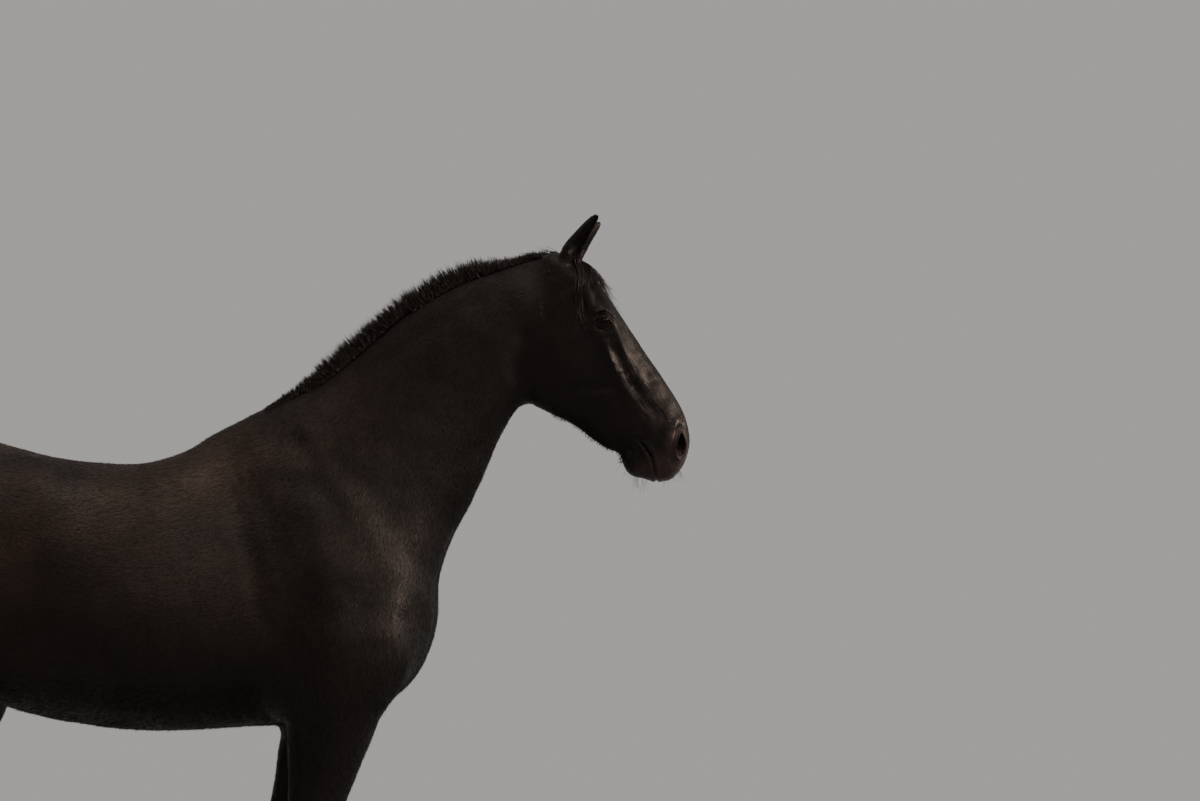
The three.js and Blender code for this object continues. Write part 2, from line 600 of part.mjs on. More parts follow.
for (const { name, fore, hind } of limbs) {
  const [shoulder, foreleg] = partAbove(solid(filleted(fore, [trunk], FILLET.limb)), PARTING.elbow);
  const [haunch, hindleg] = partAbove(solid(filleted(hind, [trunk], FILLET.limb)), PARTING.stifle);
  const [forearm, foreCannon] = partAbove(foreleg, level(PARTING.knee));
  const [thigh, hindCannon] = partAbove(hindleg, level(PARTING.hock));
  const gaskin = thigh.trimByPlane([0, SIDES[name], 0], GAP / 2);
  flesh.push(shoulder, haunch);
  addNode(`foreleg_${name}`, forearm, FINISH.coat);
  addNode(`fore_cannon_${name}`, foreCannon, FINISH.coat);
  addNode(`hindleg_${name}`, gaskin, FINISH.coat);
  addNode(`hind_cannon_${name}`, hindCannon, FINISH.coat);
  for (const limb of ["fore", "hind"]) {
    const hoof = loft(HOOF, RING.hoof).translate(
      CORONET[limb] + STANCE[limb][name],
      SIDES[name] * STANCE[limb].y,
      0,
    );
    addNode(`${limb}_hoof_${name}`, solid(hoof), FINISH.horn);
  }
}

const lids = Object.values(SIDES).map((side) => eyeBall(side, EYE.radius + EYE.lid));
const hair = [...mane(), ...forelock(), ...pollLocks(), ...Object.values(SIDES).map(templeLock)];
let body = join([...flesh, ...lids, ...hair]).subtract(mouthSlot());
for (const [name, side] of Object.entries(SIDES)) {
  const socket = join([lidSlit(side), eyeBall(side, EYE.radius + GAP)]);
  body = body.subtract(join([socket, nostrilPit(side), earPlaced(side, false, GAP)]));
  addNode(`eye_${name}`, eyeBall(side, EYE.radius), FINISH.eye);
  addNode(`ear_${name}`, earPlaced(side, false).subtract(earPlaced(side, true)), FINISH.coat);
}

const forward = [[2000, 1300], [2000, 2300]];
const [ahead, torso] = partAbove(body, PARTING.withers);
const behindPoll = PARTING.poll.map(([x, z]) => [x - SLANTED_GAP, z]);
addNode("head", ahead.intersect(slab([...PARTING.poll, ...forward])), FINISH.coat);
addNode("neck", ahead.subtract(slab([...behindPoll, ...forward])), FINISH.coat);
addNode("torso", torso, FINISH.coat);

const above = torso.translate([-SLANTED_GAP, 0, SLANTED_GAP]);
const behind = torso.translate([-SLANTED_GAP, 0, -SLANTED_GAP / 2]);
const tail = join([solid(loft(DOCK, RING.tail)), ...tailLocks()]);
addNode("tail", tail.subtract(join([above, behind])), FINISH.hair);

const bounds = new THREE.Box3().setFromObject(horse);
horse.position.x = -(bounds.min.x + bounds.max.x) / 2;

export default horse;
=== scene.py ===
"""Dresses the life-size standing horse.

One skin covers head, ears, neck, trunk and legs. Hooves and eyes are set into it, and the hogged mane,
the forelock, the tail, the short coat, the whiskers and the fringes of hair grow from it. Metres.
"""

from __future__ import annotations

import json
import logging
import math
from collections.abc import Iterator, Sequence
from contextlib import contextmanager
from dataclasses import dataclass, field
from enum import Enum

import bmesh
import bpy
import numpy as np
from bpy.types import Material, Mesh, Node, NodeSocket, NodeTree, Object
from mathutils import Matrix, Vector, kdtree, noise
from mathutils.bvhtree import BVHTree

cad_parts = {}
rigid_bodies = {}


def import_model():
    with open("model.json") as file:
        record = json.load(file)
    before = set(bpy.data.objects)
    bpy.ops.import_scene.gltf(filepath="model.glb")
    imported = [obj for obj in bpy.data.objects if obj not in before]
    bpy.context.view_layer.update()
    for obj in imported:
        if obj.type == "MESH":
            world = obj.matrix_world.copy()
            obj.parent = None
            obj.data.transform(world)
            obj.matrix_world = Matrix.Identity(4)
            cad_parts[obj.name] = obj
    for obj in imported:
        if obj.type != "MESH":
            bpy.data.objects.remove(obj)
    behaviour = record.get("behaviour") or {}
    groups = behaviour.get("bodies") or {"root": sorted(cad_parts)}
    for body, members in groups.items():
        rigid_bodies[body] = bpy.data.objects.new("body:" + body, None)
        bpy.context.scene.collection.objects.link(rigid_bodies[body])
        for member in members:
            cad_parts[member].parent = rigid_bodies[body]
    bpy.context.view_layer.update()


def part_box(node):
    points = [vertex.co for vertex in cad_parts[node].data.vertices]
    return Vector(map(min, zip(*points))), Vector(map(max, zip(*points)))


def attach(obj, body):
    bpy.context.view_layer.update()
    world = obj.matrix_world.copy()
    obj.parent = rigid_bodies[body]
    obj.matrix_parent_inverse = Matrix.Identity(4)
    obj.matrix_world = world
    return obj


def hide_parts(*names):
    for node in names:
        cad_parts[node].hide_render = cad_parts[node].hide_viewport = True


Array = np.ndarray
Numbers = tuple[float, ...]
log = logging.getLogger("horse")

# ------------------------------------------------------------------ outlines, in millimetres

MM = 0.001  # the animal is drawn in millimetres, and set up in metres


def station(
    front: Numbers,
    back: Numbers,
    half: float,
    mid: float = 0.5,
    pa: float = 2.0,
    pb: float = 2.0,
    y: float = 0.0,
) -> Numbers:
    """One cross section of a part, drawn in side view.

    Args:
        front: Its outline point, x and z, on the top or the front of the part.
        back: Its outline point on the underside or the back.
        half: Half of its width.
        mid: Where it is widest, from 0 at the back to 1 at the front.
        pa: Power of its curve towards the front; 2 is an ellipse, less is keener, more is squarer.
        pb: Power of its curve towards the back.
        y: Where its middle lies across the body.

    Returns:
        The nine numbers as one row.
    """
    return (*front, *back, half, mid, pa, pb, y)


# Buttocks to throat, leaning forward from the girth on and fanning into the neck.
TRUNK = (
    station((-1078, 1392), (-1080, 1310), 46),
    station((-1064, 1450), (-1068, 1250), 122),
    station((-1014, 1506), (-1022, 1190), 196, mid=0.48),
    station((-925, 1554), (-928, 1118), 240, pa=2.1),
    station((-808, 1588), (-808, 1045), 262, mid=0.54, pa=2.1),
    station((-690, 1598), (-690, 975), 270, mid=0.6, pa=2.1),
    station((-580, 1568), (-585, 914), 268, mid=0.56, pa=2.2),
    station((-460, 1537), (-470, 882), 278, mid=0.52, pa=2.2),
    station((-350, 1523), (-360, 864), 300, mid=0.47, pa=2.1),
    station((-240, 1520), (-250, 852), 300, mid=0.46),
    station((-140, 1545), (-120, 851), 282, mid=0.45, pa=1.8),
    station((-70, 1586), (20, 859), 256, mid=0.44, pa=1.6),
    station((-25, 1610), (160, 866), 234, mid=0.44, pa=1.5),
    station((5, 1626), (290, 871), 222, mid=0.46, pa=1.5, pb=1.9),
    station((25, 1637), (388, 916), 214, mid=0.47, pa=1.5, pb=2.3),
    station((47, 1648), (468, 1000), 206, mid=0.44, pa=1.5, pb=2.7),
    station((78, 1661), (507, 1115), 190, mid=0.43, pa=1.5, pb=2.8),
    station((126, 1684), (515, 1228), 166, mid=0.45, pa=1.5, pb=2.5),
    station((190, 1716), (552, 1335), 140, mid=0.47, pa=1.5, pb=2.1),
    station((262, 1767), (594, 1412), 122, mid=0.48, pa=1.5),
    station((345, 1837), (624, 1476), 108, pa=1.5),
    station((440, 1911), (650, 1540), 98, mid=0.52, pa=1.55),
    station((545, 1972), (681, 1604), 90, mid=0.54, pa=1.6),
    station((650, 2007), (711, 1650), 84, mid=0.56, pa=1.7),
    station((735, 2032), (750, 1682), 78, mid=0.58, pa=1.8),
    station((795, 2038), (775, 1745), 66, mid=0.6),
)

# Poll to lips in the head's own frame: down the face, and out towards the forehead.
HEAD = (
    station((6, -14), (6, -50), 30),
    station((16, 4), (16, -62), 50),
    station((50, 28), (50, -86), 66, mid=0.56),
    station((105, 52), (105, -122), 82, mid=0.68, pa=2.3, pb=2.4),
    station((165, 63), (165, -170), 90, mid=0.78, pa=2.4, pb=2.6),
    station((222, 70), (222, -206), 91, mid=0.82, pa=2.4, pb=2.9),
    station((270, 76), (270, -228), 84, mid=0.8, pa=2.3, pb=2.9),
    station((312, 81), (312, -236), 77, mid=0.745, pa=2.2, pb=2.6),
    station((352, 86), (352, -213), 71, mid=0.705, pa=2.2, pb=2.2),
    station((392, 92), (392, -181), 63, mid=0.66, pa=2.1, pb=1.9),
    station((432, 97), (432, -154), 55, mid=0.64, pa=2.1, pb=1.8),
    station((472, 101), (472, -134), 50, mid=0.62, pb=1.8),
    station((508, 102), (508, -113), 49, mid=0.64, pa=1.9, pb=1.8),
    station((538, 99), (538, -89), 51, mid=0.66, pa=1.9, pb=1.9),
    station((566, 92), (566, -92), 54, mid=0.7, pb=1.9),
    station((594, 80), (594, -89), 53, mid=0.7, pa=2.1, pb=1.9),
    station((620, 59), (620, -67), 47, mid=0.65, pa=2.2),
    station((641, 32), (641, -37), 35, mid=0.55, pa=2.2, pb=2.1),
    station((651, 9), (651, -13), 18),
)

# Shoulder blade to coronet.
FORE_LIMB = (
    station((110, 1480), (0, 1450), 34, y=70),
    station((225, 1402), (10, 1370), 46, y=96, pa=1.8, pb=1.6),
    station((335, 1302), (38, 1270), 66, y=125, pa=1.8, pb=1.6),
    station((415, 1205), (68, 1172), 84, y=140, pa=1.8, pb=1.6),
    station((470, 1118), (90, 1080), 96, y=146, pa=1.9, pb=1.6),
    station((480, 1035), (108, 1005), 98, y=145, pa=1.9, pb=1.6),
    station((450, 962), (128, 948), 94, y=142, pb=1.8),
    station((394, 893), (148, 885), 82, y=140),
    station((366, 828), (158, 820), 70, y=134),
    station((331, 745), (162, 740), 60, y=130),
    station((300, 668), (160, 665), 52, y=130),
    station((272, 595), (155, 595), 46, y=130),
    station((262, 545), (149, 545), 48, y=130, pa=2.3),
    station((266, 500), (142, 502), 52, y=130, pa=2.6),
    station((257, 455), (157, 455), 47, y=130, pa=2.5),
    station((238, 415), (163, 415), 35, y=130),
    station((234, 370), (163, 370), 31, y=130),
    station((233, 310), (161, 310), 31, y=130),
    station((244, 258), (150, 252), 41, y=130),
    station((252, 225), (152, 205), 38, y=130),
    station((268, 180), (182, 150), 33, y=130),
    station((284, 140), (198, 100), 39, y=130),
    station((298, 104), (201, 62), 50, y=130),
)

# Croup to coronet.
HIND_LIMB = (
    station((-660, 1530), (-900, 1492), 56, y=104),
    station((-600, 1455), (-965, 1422), 88, y=118, pa=1.6, pb=1.9, mid=0.48),
    station((-560, 1362), (-1036, 1337), 120, y=132, pa=1.5, pb=2.1, mid=0.46),
    station((-530, 1250), (-1080, 1238), 139, y=137, pa=1.5, pb=2.3, mid=0.45),
    station((-530, 1120), (-1080, 1138), 139, y=137, pa=1.6, pb=2.3, mid=0.45),
    station((-558, 1020), (-1050, 1042), 123, y=136, pa=1.8, pb=2.2, mid=0.47),
    station((-600, 940), (-1014, 955), 98, y=134),
    station((-660, 865), (-1000, 878), 78, y=130),
    station((-742, 788), (-1004, 804), 63, y=128),
    station((-822, 718), (-1032, 738), 52, y=126),
    station((-888, 662), (-1068, 686), 46, y=125),
    station((-928, 614), (-1086, 644), 47, y=125, pb=1.7),
    station((-946, 564), (-1071, 582), 47, y=125, pa=2.3),
    station((-958, 515), (-1058, 522), 40, y=125),
    station((-970, 450), (-1053, 452), 34, y=125),
    station((-974, 380), (-1054, 380), 32, y=125),
    station((-976, 315), (-1056, 314), 33, y=125),
    station((-966, 262), (-1068, 254), 42, y=125),
    station((-956, 228), (-1062, 206), 39, y=125),
    station((-936, 180), (-1030, 152), 34, y=125),
    station((-918, 140), (-1008, 102), 39, y=125),
    station((-903, 104), (-1000, 62), 48, y=125),
)

# Coronet to ground, measured from the front of the coronet.
HOOF = (
    station((2, 103.65), (-96, 61.65), 51, mid=0.52),
    station((12, 91), (-97, 54), 55, mid=0.52, pa=2.1, pb=2.3),
    station((50, 26), (-95, 18), 63, pa=2.2, pb=2.6),
    station((62, 4), (-91, 4), 66, pa=2.2, pb=2.7),
    station((60, 0), (-89, 0), 64, pa=2.2, pb=2.7),
)

# Root to tip of the dock, its underside first.
DOCK = (
    station((-1012, 1402), (-976, 1506), 44),
    station((-1076, 1388), (-1054, 1496), 46),
    station((-1098, 1352), (-1112, 1458), 46),
    station((-1104, 1310), (-1146, 1388), 44),
    station((-1108, 1250), (-1154, 1284), 42),
    station((-1112, 1130), (-1154, 1136), 38),
    station((-1116, 1000), (-1148, 1000), 28),
    station((-1124, 910), (-1140, 910), 10),
)

HEAD_TILT = math.radians(63.7)  # of the face line below the horizontal
POLL = (810.0, 2060.0)  # x and z where the head's own frame starts
HEAD_FROM = 800.0  # x ahead of which all skin is the head's
HOOF_TOE = 360.0  # x of the right fore hoof's toe, which places the drawing in the frame
MANE_SPAN = (15.7, 24.6)  # the stretch of TRUNK that carries the mane
CORONET = {"fore": 298.0, "hind": -903.0}  # x of the front of a drawn limb's coronet
CORONET_HEIGHT = 104.0  # z of that point


class Side(Enum):
    """The two sides of the animal, as the sign of y."""

    RIGHT = -1
    LEFT = 1


@dataclass(frozen=True)
class Stance:
    """How far a pair of feet stands ahead of or behind the drawn limb."""

    y: float
    pivot: float
    right: float
    left: float

    def stride(self, side: Side) -> float:
        """The shift of this side's foot."""
        return self.left if side is Side.LEFT else self.right

    def lean(self, points: Array, side: Side) -> Array:
        """Shears a limb below its pivot, so that its foot stands where it should.

        Args:
            points: Points of the limb as drawn.
            side: Which side's limb it is.

        Returns:
            The points in their stance.
        """
        moved = points.copy()
        share = np.clip((self.pivot - points[..., 2]) / (self.pivot - CORONET_HEIGHT), 0, 1)
        moved[..., 0] += share * self.stride(side)
        return moved


FORE_STANCE = Stance(y=130, pivot=1250, right=0, left=-165)
HIND_STANCE = Stance(y=125, pivot=1200, right=-30, left=120)


# ------------------------------------------------------------------ small tools


def smoothstep(low: float, high: float, value: Array) -> Array:
    """Ramp from 0 below low to 1 above high, with soft ends."""
    share = np.clip((value - low) / (high - low), 0, 1)
    return share * share * (3 - 2 * share)


def unit(vectors: Array) -> Array:
    """The vectors at length one."""
    return vectors / np.maximum(np.linalg.norm(vectors, axis=-1, keepdims=True), 1e-9)


def onto_head(points: Array) -> Array:
    """Brings points of the head's own frame into the drawing's frame.

    Args:
        points: Rows of u down the face, y across and v outwards.

    Returns:
        The same points as x, y and z of the drawing.
    """
    c, s = math.cos(HEAD_TILT), math.sin(HEAD_TILT)
    u, y, v = points[..., 0], points[..., 1], points[..., 2]
    return np.stack([POLL[0] + u * c + v * s, y, POLL[1] - u * s + v * c], axis=-1)


def turned_onto_head(vectors: Array) -> Array:
    """Directions of the head's own frame in the drawing's frame."""
    return onto_head(vectors) - onto_head(np.zeros(3))


def from_head(points: Array) -> Array:
    """Brings points of the drawing's frame into the head's own frame.

    Args:
        points: Points of the drawing.

    Returns:
        The same points as u down the face, y across and v outwards.
    """
    c, s = math.cos(HEAD_TILT), math.sin(HEAD_TILT)
    x, y, z = points[..., 0] - POLL[0], points[..., 1], points[..., 2] - POLL[1]
    return np.stack([x * c - z * s, y, x * s + z * c], axis=-1)


def search_tree(points: Sequence[Numbers] | Array) -> kdtree.KDTree:
    """A tree that finds the nearest of some points.

    Args:
        points: The points.

    Returns:
        The tree; it answers with a place, its number and its distance.
    """
    tree = kdtree.KDTree(len(points))
    for i, point in enumerate(points):
        tree.insert(point, i)
    tree.balance()
    return tree


def smooth_path(points: Sequence[Numbers], count: int) -> Array:
    """Even points on a smooth curve through a few.

    Args:
        points: The points that the curve passes through.
        count: How many points to give back.

    Returns:
        The points, one a row.
    """
    table = np.array(points, float)
    return catmull_rom(table, np.linspace(0, len(table) - 1, count))


def catmull_rom(table: Array, places: Array) -> Array:
    """Rows at fractional places of a table, on smooth curves through its rows.

    Args:
        table: The rows that are given.
        places: Where to read it, from 0 at its first row.

    Returns:
        One row for each place.
    """
    last = len(table) - 1
    i = np.clip(np.floor(places).astype(int), 0, last - 1)
    t = (places - i)[:, None]
    p, q, r, s = (table[np.clip(i + k, 0, last)] for k in (-1, 0, 1, 2))
    pull, push = (r - p) / 2, (s - q) / 2
    return q + pull * t + (3 * (r - q) - 2 * pull - push) * t**2 + (2 * (q - r) + pull + push) * t**3


def rotation(degrees: float, first: int, second: int) -> Array:
    """A turn in the plane of two axes.

    Args:
        degrees: How far.
        first: The axis that turns towards the second.
        second: The other one.

    Returns:
        Its matrix.
    """
    turn = math.radians(degrees)
    matrix = np.eye(3)
    matrix[first, first] = matrix[second, second] = math.cos(turn)
    matrix[first, second], matrix[second, first] = -math.sin(turn), math.sin(turn)
    return matrix


def in_frame(points: Array, shift: float) -> Array:
    """Points of the drawing in the frame, in metres."""
    return points * MM + np.array([shift, 0, 0])


def in_drawing(points: Array, shift: float) -> Array:
    """Points of the frame in the drawing, in millimetres."""
    return (points - np.array([shift, 0, 0])) / MM


def ring_walls(rings: int, sides: int) -> tuple[Array, Array]:
    """The quads between neighbouring rings of points.

    Args:
        rings: How many rings there are.
        sides: Points in each.

    Returns:
        The numbers of the points ring by ring, and the quads, one a row.
    """
    index = np.arange(rings * sides).reshape(rings, sides)
    beside = np.roll(index, -1, axis=1)
    return index, np.stack([index[:-1], beside[:-1], beside[1:], index[1:]], axis=-1).reshape(-1, 4)


# ------------------------------------------------------------------ relief


@dataclass(frozen=True)
class Mound:
    """A rounded form that stands out of the flesh, or sinks into it, drawn in side view."""

    x: float
    z: float
    long: float
    high: float
    rise: float
    turn: float = 0.0

    def rise_at(self, x: Array, z: Array) -> Array:
        """Its rise at points of the side view.

        Args:
            x: How far forward each point lies, or how far down the face.
            z: How high each point lies, or how far out from the face.

        Returns:
            One rise for each, in millimetres.
        """
        turn = math.radians(self.turn)
        c, s = math.cos(turn), math.sin(turn)
        dx, dz = x - self.x, z - self.z
        across = ((dx * c + dz * s) / self.long) ** 2 + ((dz * c - dx * s) / self.high) ** 2
        return self.rise * np.exp(-across)


@dataclass(frozen=True)
class Stroke:
    """A ridge or a groove along a curve of the side view, dying away at both ends."""

    path: tuple[Numbers, ...]
    width: float
    rise: float
    taper: float = 0.22

    def rise_at(self, x: Array, z: Array) -> Array:
        """Its rise at points of the side view.

        Args:
            x: How far forward each point lies, or how far down the face.
            z: How high each point lies, or how far out from the face.

        Returns:
            One rise for each, in millimetres.
        """
        line = smooth_path(self.path, 7 * len(self.path))
        reach = 3 * self.width
        low, high = line.min(axis=0) - reach, line.max(axis=0) + reach
        near = (x > low[0]) & (x < high[0]) & (z > low[1]) & (z < high[1])
        rise = np.zeros_like(x)
        if not near.any():
            return rise
        points = np.stack([x[near], z[near]], axis=-1)
        start, step = line[:-1], np.diff(line, axis=0)
        run = points[:, None, :] - start[None]
        share = np.clip((run * step).sum(-1) / (step * step).sum(-1), 0, 1)
        gap = np.linalg.norm(run - share[..., None] * step, axis=-1)
        nearest = gap.argmin(axis=1)
        rows = np.arange(len(points))
        along = (nearest + share[rows, nearest]) / len(step)
        fade = smoothstep(0, self.taper, along) * smoothstep(0, self.taper, 1 - along)
        rise[near] = self.rise * fade * np.exp(-((gap[rows, nearest] / self.width) ** 2))
        return rise


TRUNK_FORMS = (
    Mound(215, 1370, 70, 170, 10, 35),
    Mound(285, 1150, 130, 150, 24),
    Mound(-835, 1245, 200, 130, 26),
    Mound(-690, 1500, 70, 50, 12),
)
HEAD_FORMS = (
    Mound(214, 36, 44, 30, 10),
    Mound(176, 40, 16, 14, -4),
    Mound(326, -2, 62, 12, 6),
    Mound(40, 0, 30, 30, 9),
    Mound(586, 60, 34, 26, 5),
    Mound(250, -120, 90, 70, 5),
)


# ------------------------------------------------------------------ lofts


@dataclass
class Loft:
    """A closed form through cross sections, kept as a grid of points: ring by ring, side by side."""

    stations: tuple[Numbers, ...]
    rings: int
    sides: int
    finer: tuple[float, float, float] = (0.0, 0.0, 0.0)  # from, to, and how much closer the rings lie there
    points: Array = field(init=False)
    run: Array = field(init=False)

    def __post_init__(self) -> None:
        """Works out the grid."""
        table = np.array(self.stations, float)
        fine = np.linspace(0, len(table) - 1, 40 * len(table))
        rows = catmull_rom(table, fine)
        front, back = (np.hypot(*np.diff(rows[:, k : k + 2], axis=0).T) for k in (0, 2))
        steps = 0.5 * front + 0.5 * back + 0.4 * np.abs(np.diff(rows[:, 4]))
        start, end, closer = self.finer
        weights = 1 + closer * ((fine[1:] > start) & (fine[1:] < end))
        spread = np.concatenate([[0], np.cumsum(steps * weights)])
        places = np.interp(np.linspace(0, spread[-1], self.rings), spread, fine)
        self.run = np.interp(places, fine, np.concatenate([[0], np.cumsum(steps)]))
        self.points = self.ring_grid(catmull_rom(table, places))

    def ring_grid(self, rows: Array) -> Array:
        """Rings with evenly spaced sides, quarter by quarter, so that rings match.

        Args:
            rows: The cross section of each ring.

        Returns:
            The grid of points.
        """
        ax, az, bx, bz, half, mid, pa, pb, y = (rows[:, k, None] for k in range(9))
        quarter = self.sides // 4
        grid = np.empty((len(rows), self.sides, 3))
        for k in range(4):
            angle = np.linspace(0, np.pi / 2, 129)[None] + k * np.pi / 2
            across, along = np.cos(angle), np.sin(angle)
            power, depth = (pa, 1 - mid) if k < 2 else (pb, mid)
            reach = mid + np.sign(along) * np.abs(along) ** (2 / power) * depth
            wide = y + half * np.sign(across) * np.abs(across) ** (2 / power)
            arc = np.stack([bx + (ax - bx) * reach, wide, bz + (az - bz) * reach], axis=-1)
            length = np.linalg.norm(np.diff(arc, axis=1), axis=-1).cumsum(axis=1)
            for i, total in enumerate(length):
                spread = np.concatenate([[0], total])
                wanted = np.linspace(0, spread[-1], quarter + 1)[:-1]
                own = grid[i, k * quarter : (k + 1) * quarter]
                for axis in range(3):
                    own[:, axis] = np.interp(wanted, spread, arc[i, :, axis])
        return grid

    def with_forms(self, forms: tuple[Mound, ...], fade_over: float) -> None:
        """Pushes both sides out to the forms, less and less towards the middle line.

        Args:
            forms: What stands out.
            fade_over: Half width within which the forms die away.
        """
        x, y, z = (self.points[..., k] for k in range(3))
        rise = sum(one.rise_at(x, z) for one in forms)
        self.points[..., 1] += np.sign(y) * np.minimum(1, np.abs(y) / fade_over) * rise

    def normals(self) -> Array:
        """Outward direction at each point of the grid.

        Returns:
            The directions, one for each point.
        """
        along = np.gradient(self.points, axis=0)
        around = np.roll(self.points, -1, axis=1) - np.roll(self.points, 1, axis=1)
        return unit(np.cross(around, along))

    def faces(self) -> list[tuple[int, ...]]:
        """The quads between the rings, and a fan over each end.

        Returns:
            The faces, as runs of numbers into what vertices() gives.
        """
        rings, sides = self.points.shape[:2]
        index, walls = ring_walls(rings, sides)
        first, last = rings * sides, rings * sides + 1
        ends = [(first, int(b), int(a)) for a, b in zip(index[0], np.roll(index[0], -1))]
        ends += [(last, int(a), int(b)) for a, b in zip(index[-1], np.roll(index[-1], -1))]
        return [tuple(wall) for wall in walls.tolist()] + ends

    def vertices(self) -> Array:
        """All points in one list, with the middles of both ends last."""
        middles = self.points[[0, -1]].mean(axis=1)
        return np.concatenate([self.points.reshape(-1, 3), middles])

    def tree(self) -> BVHTree:
        """A search tree of its surface."""
        return BVHTree.FromPolygons(self.vertices().tolist(), self.faces())

    def filleted(self, neighbours: list[BVHTree], reach: float) -> None:
        """Swells the form where it comes near its neighbours, most at the crease between them.

        Args:
            neighbours: Search trees of the forms that it runs into.
            reach: How far from a crease the flesh rounds it.
        """
        flat, outward = self.points.reshape(-1, 3), self.normals().reshape(-1, 3)
        for i, (point, normal) in enumerate(zip(flat.copy(), outward)):
            start, facing = Vector(point), Vector(normal)
            hits = [tree.find_nearest(start, reach) for tree in neighbours]
            hits = [hit for hit in hits if hit[0] is not None]
            if not hits:
                continue
            _, side, _, gap = min(hits, key=lambda hit: hit[3])
            crease = math.sqrt(max(0.0, 1 - facing.dot(side)))
            flat[i] += normal * crease * (reach - gap) ** 2 / (4 * reach)


def in_scene(name: str, data: bpy.types.ID) -> Object:
    """A new object of the scene, at the origin.

    Args:
        name: Its name.
        data: What it shows.

    Returns:
        The object.
    """
    made = bpy.data.objects.new(name, data)
    bpy.context.scene.collection.objects.link(made)
    return made


def mesh_object(name: str, vertices: Array, faces: Sequence[Sequence[int]]) -> Object:
    """A new mesh in the scene.

    Args:
        name: Its name.
        vertices: Its points.
        faces: Its faces, as runs of point numbers.

    Returns:
        The object.
    """
    mesh = bpy.data.meshes.new(name)
    mesh.from_pydata(np.asarray(vertices, float).tolist(), [], faces)
    mesh.update()
    return in_scene(name, mesh)


@contextmanager
def editing(mesh: Mesh) -> Iterator[bmesh.types.BMesh]:
    """Opens a mesh for changes to its faces, and writes it back.

    Args:
        mesh: The mesh.

    Yields:
        Its faces and points.
    """
    shape = bmesh.new()
    shape.from_mesh(mesh)
    yield shape
    shape.to_mesh(mesh)
    shape.free()


def discard(made: Object) -> None:
    """Removes an object and its mesh.

    Args:
        made: The object.
    """
    mesh = made.data
    bpy.data.objects.remove(made)
    bpy.data.meshes.remove(mesh)


def evaluated_mesh(made: Object) -> Mesh:
    """The mesh that an object's modifiers make, as a mesh of its own.

    Args:
        made: The object.

    Returns:
        The mesh.
    """
    graph = bpy.context.evaluated_depsgraph_get()
    shaped = made.evaluated_get(graph)
    return bpy.data.meshes.new_from_object(shaped, preserve_all_data_layers=True, depsgraph=graph)


def combine(base: Object, tools: Sequence[Object], operation: str) -> None:
    """Joins closed shapes to one, or cuts them out of it, and removes them.

    Args:
        base: The shape that changes.
        tools: The shapes that are joined or cut.
        operation: UNION or DIFFERENCE.
    """
    for tool in tools:
        change = base.modifiers.new("combine", "BOOLEAN")
        change.operation = operation
        change.solver = "MANIFOLD"
        change.object = tool
        old = base.data
        base.data = evaluated_mesh(base)
        base.modifiers.clear()
        bpy.data.meshes.remove(old)
        discard(tool)


def read_rows(items: bpy.types.bpy_prop_collection, what: str, wide: int = 3, kind: type = float) -> Array:
    """Reads one property of all items of a mesh.

    Args:
        items: The items, such as its edges.
        what: The property's name.
        wide: How many numbers it has.
        kind: What kind of number.

    Returns:
        One row for each item.
    """
    flat = np.empty(wide * len(items), kind)
    items.foreach_get(what, flat)
    return flat.reshape(-1, wide)


def points_of(mesh: Mesh) -> Array:
    """A mesh's points, one a row."""
    return read_rows(mesh.vertices, "co")


def normals_of(mesh: Mesh) -> Array:
    """A mesh's outward direction at each point."""
    return read_rows(mesh.vertex_normals, "vector")


def corners_of(mesh: Mesh) -> Array:
    """The number of the point at each corner of a mesh's faces."""
    return read_rows(mesh.loops, "vertex_index", 1, int).ravel()


def write_vectors(mesh: Mesh, name: str, values: Array) -> None:
    """Stores a direction at each point of a mesh."""
    layer = mesh.attributes.get(name) or mesh.attributes.new(name, "FLOAT_VECTOR", "POINT")
    layer.data.foreach_set("vector", values.astype(np.float32).ravel())


def write_numbers(mesh: Mesh, name: str, values: Array) -> None:
    """Stores a number at each point of a mesh."""
    layer = mesh.attributes.get(name) or mesh.attributes.new(name, "FLOAT", "POINT")
    layer.data.foreach_set("value", values.astype(np.float32).ravel())


def write_map(mesh: Mesh, name: str, flat: Array) -> None:
    """Stores a flat place at each corner of a mesh's faces."""
    layer = mesh.uv_layers.get(name) or mesh.uv_layers.new(name=name)
    layer.uv.foreach_set("vector", flat.astype(np.float32).ravel())


def move_points(mesh: Mesh, points: Array) -> None:
    """Sets a mesh's points."""
    mesh.vertices.foreach_set("co", points.astype(np.float32).ravel())
    mesh.update()


def settled(mesh: Mesh, values: Array, weights: Array, times: int) -> Array:
    """Draws each point's vector towards the mean of its neighbours'.

    Args:
        mesh: The mesh whose edges say which points are neighbours.
        values: A vector for each point.
        weights: How far each may change, from 0 to 1.
        times: How often.

    Returns:
        The new vectors.
    """
    a, b = read_rows(mesh.edges, "vertices", 2, int).T
    near = weights > 0
    keep = near[a] | near[b]
    a, b = a[keep], b[keep]
    values, count = values.copy(), len(mesh.vertices)
    degree = np.maximum(np.bincount(a, minlength=count) + np.bincount(b, minlength=count), 1)[:, None]
    for _ in range(times):
        total = np.empty_like(values)
        for k, value in enumerate(values.T):
            total[:, k] = np.bincount(a, value[b], minlength=count)
            total[:, k] += np.bincount(b, value[a], minlength=count)
        values += 0.5 * weights[:, None] * np.where(near[:, None], total / degree - values, 0)
    return values


def smooth_points(mesh: Mesh, weights: Array, times: int) -> None:
    """Draws points towards the middle of their neighbours.

    Args:
        mesh: The mesh that changes.
        weights: How far each point moves, from 0 to 1.
        times: How often.
    """
    move_points(mesh, settled(mesh, points_of(mesh), weights, times))


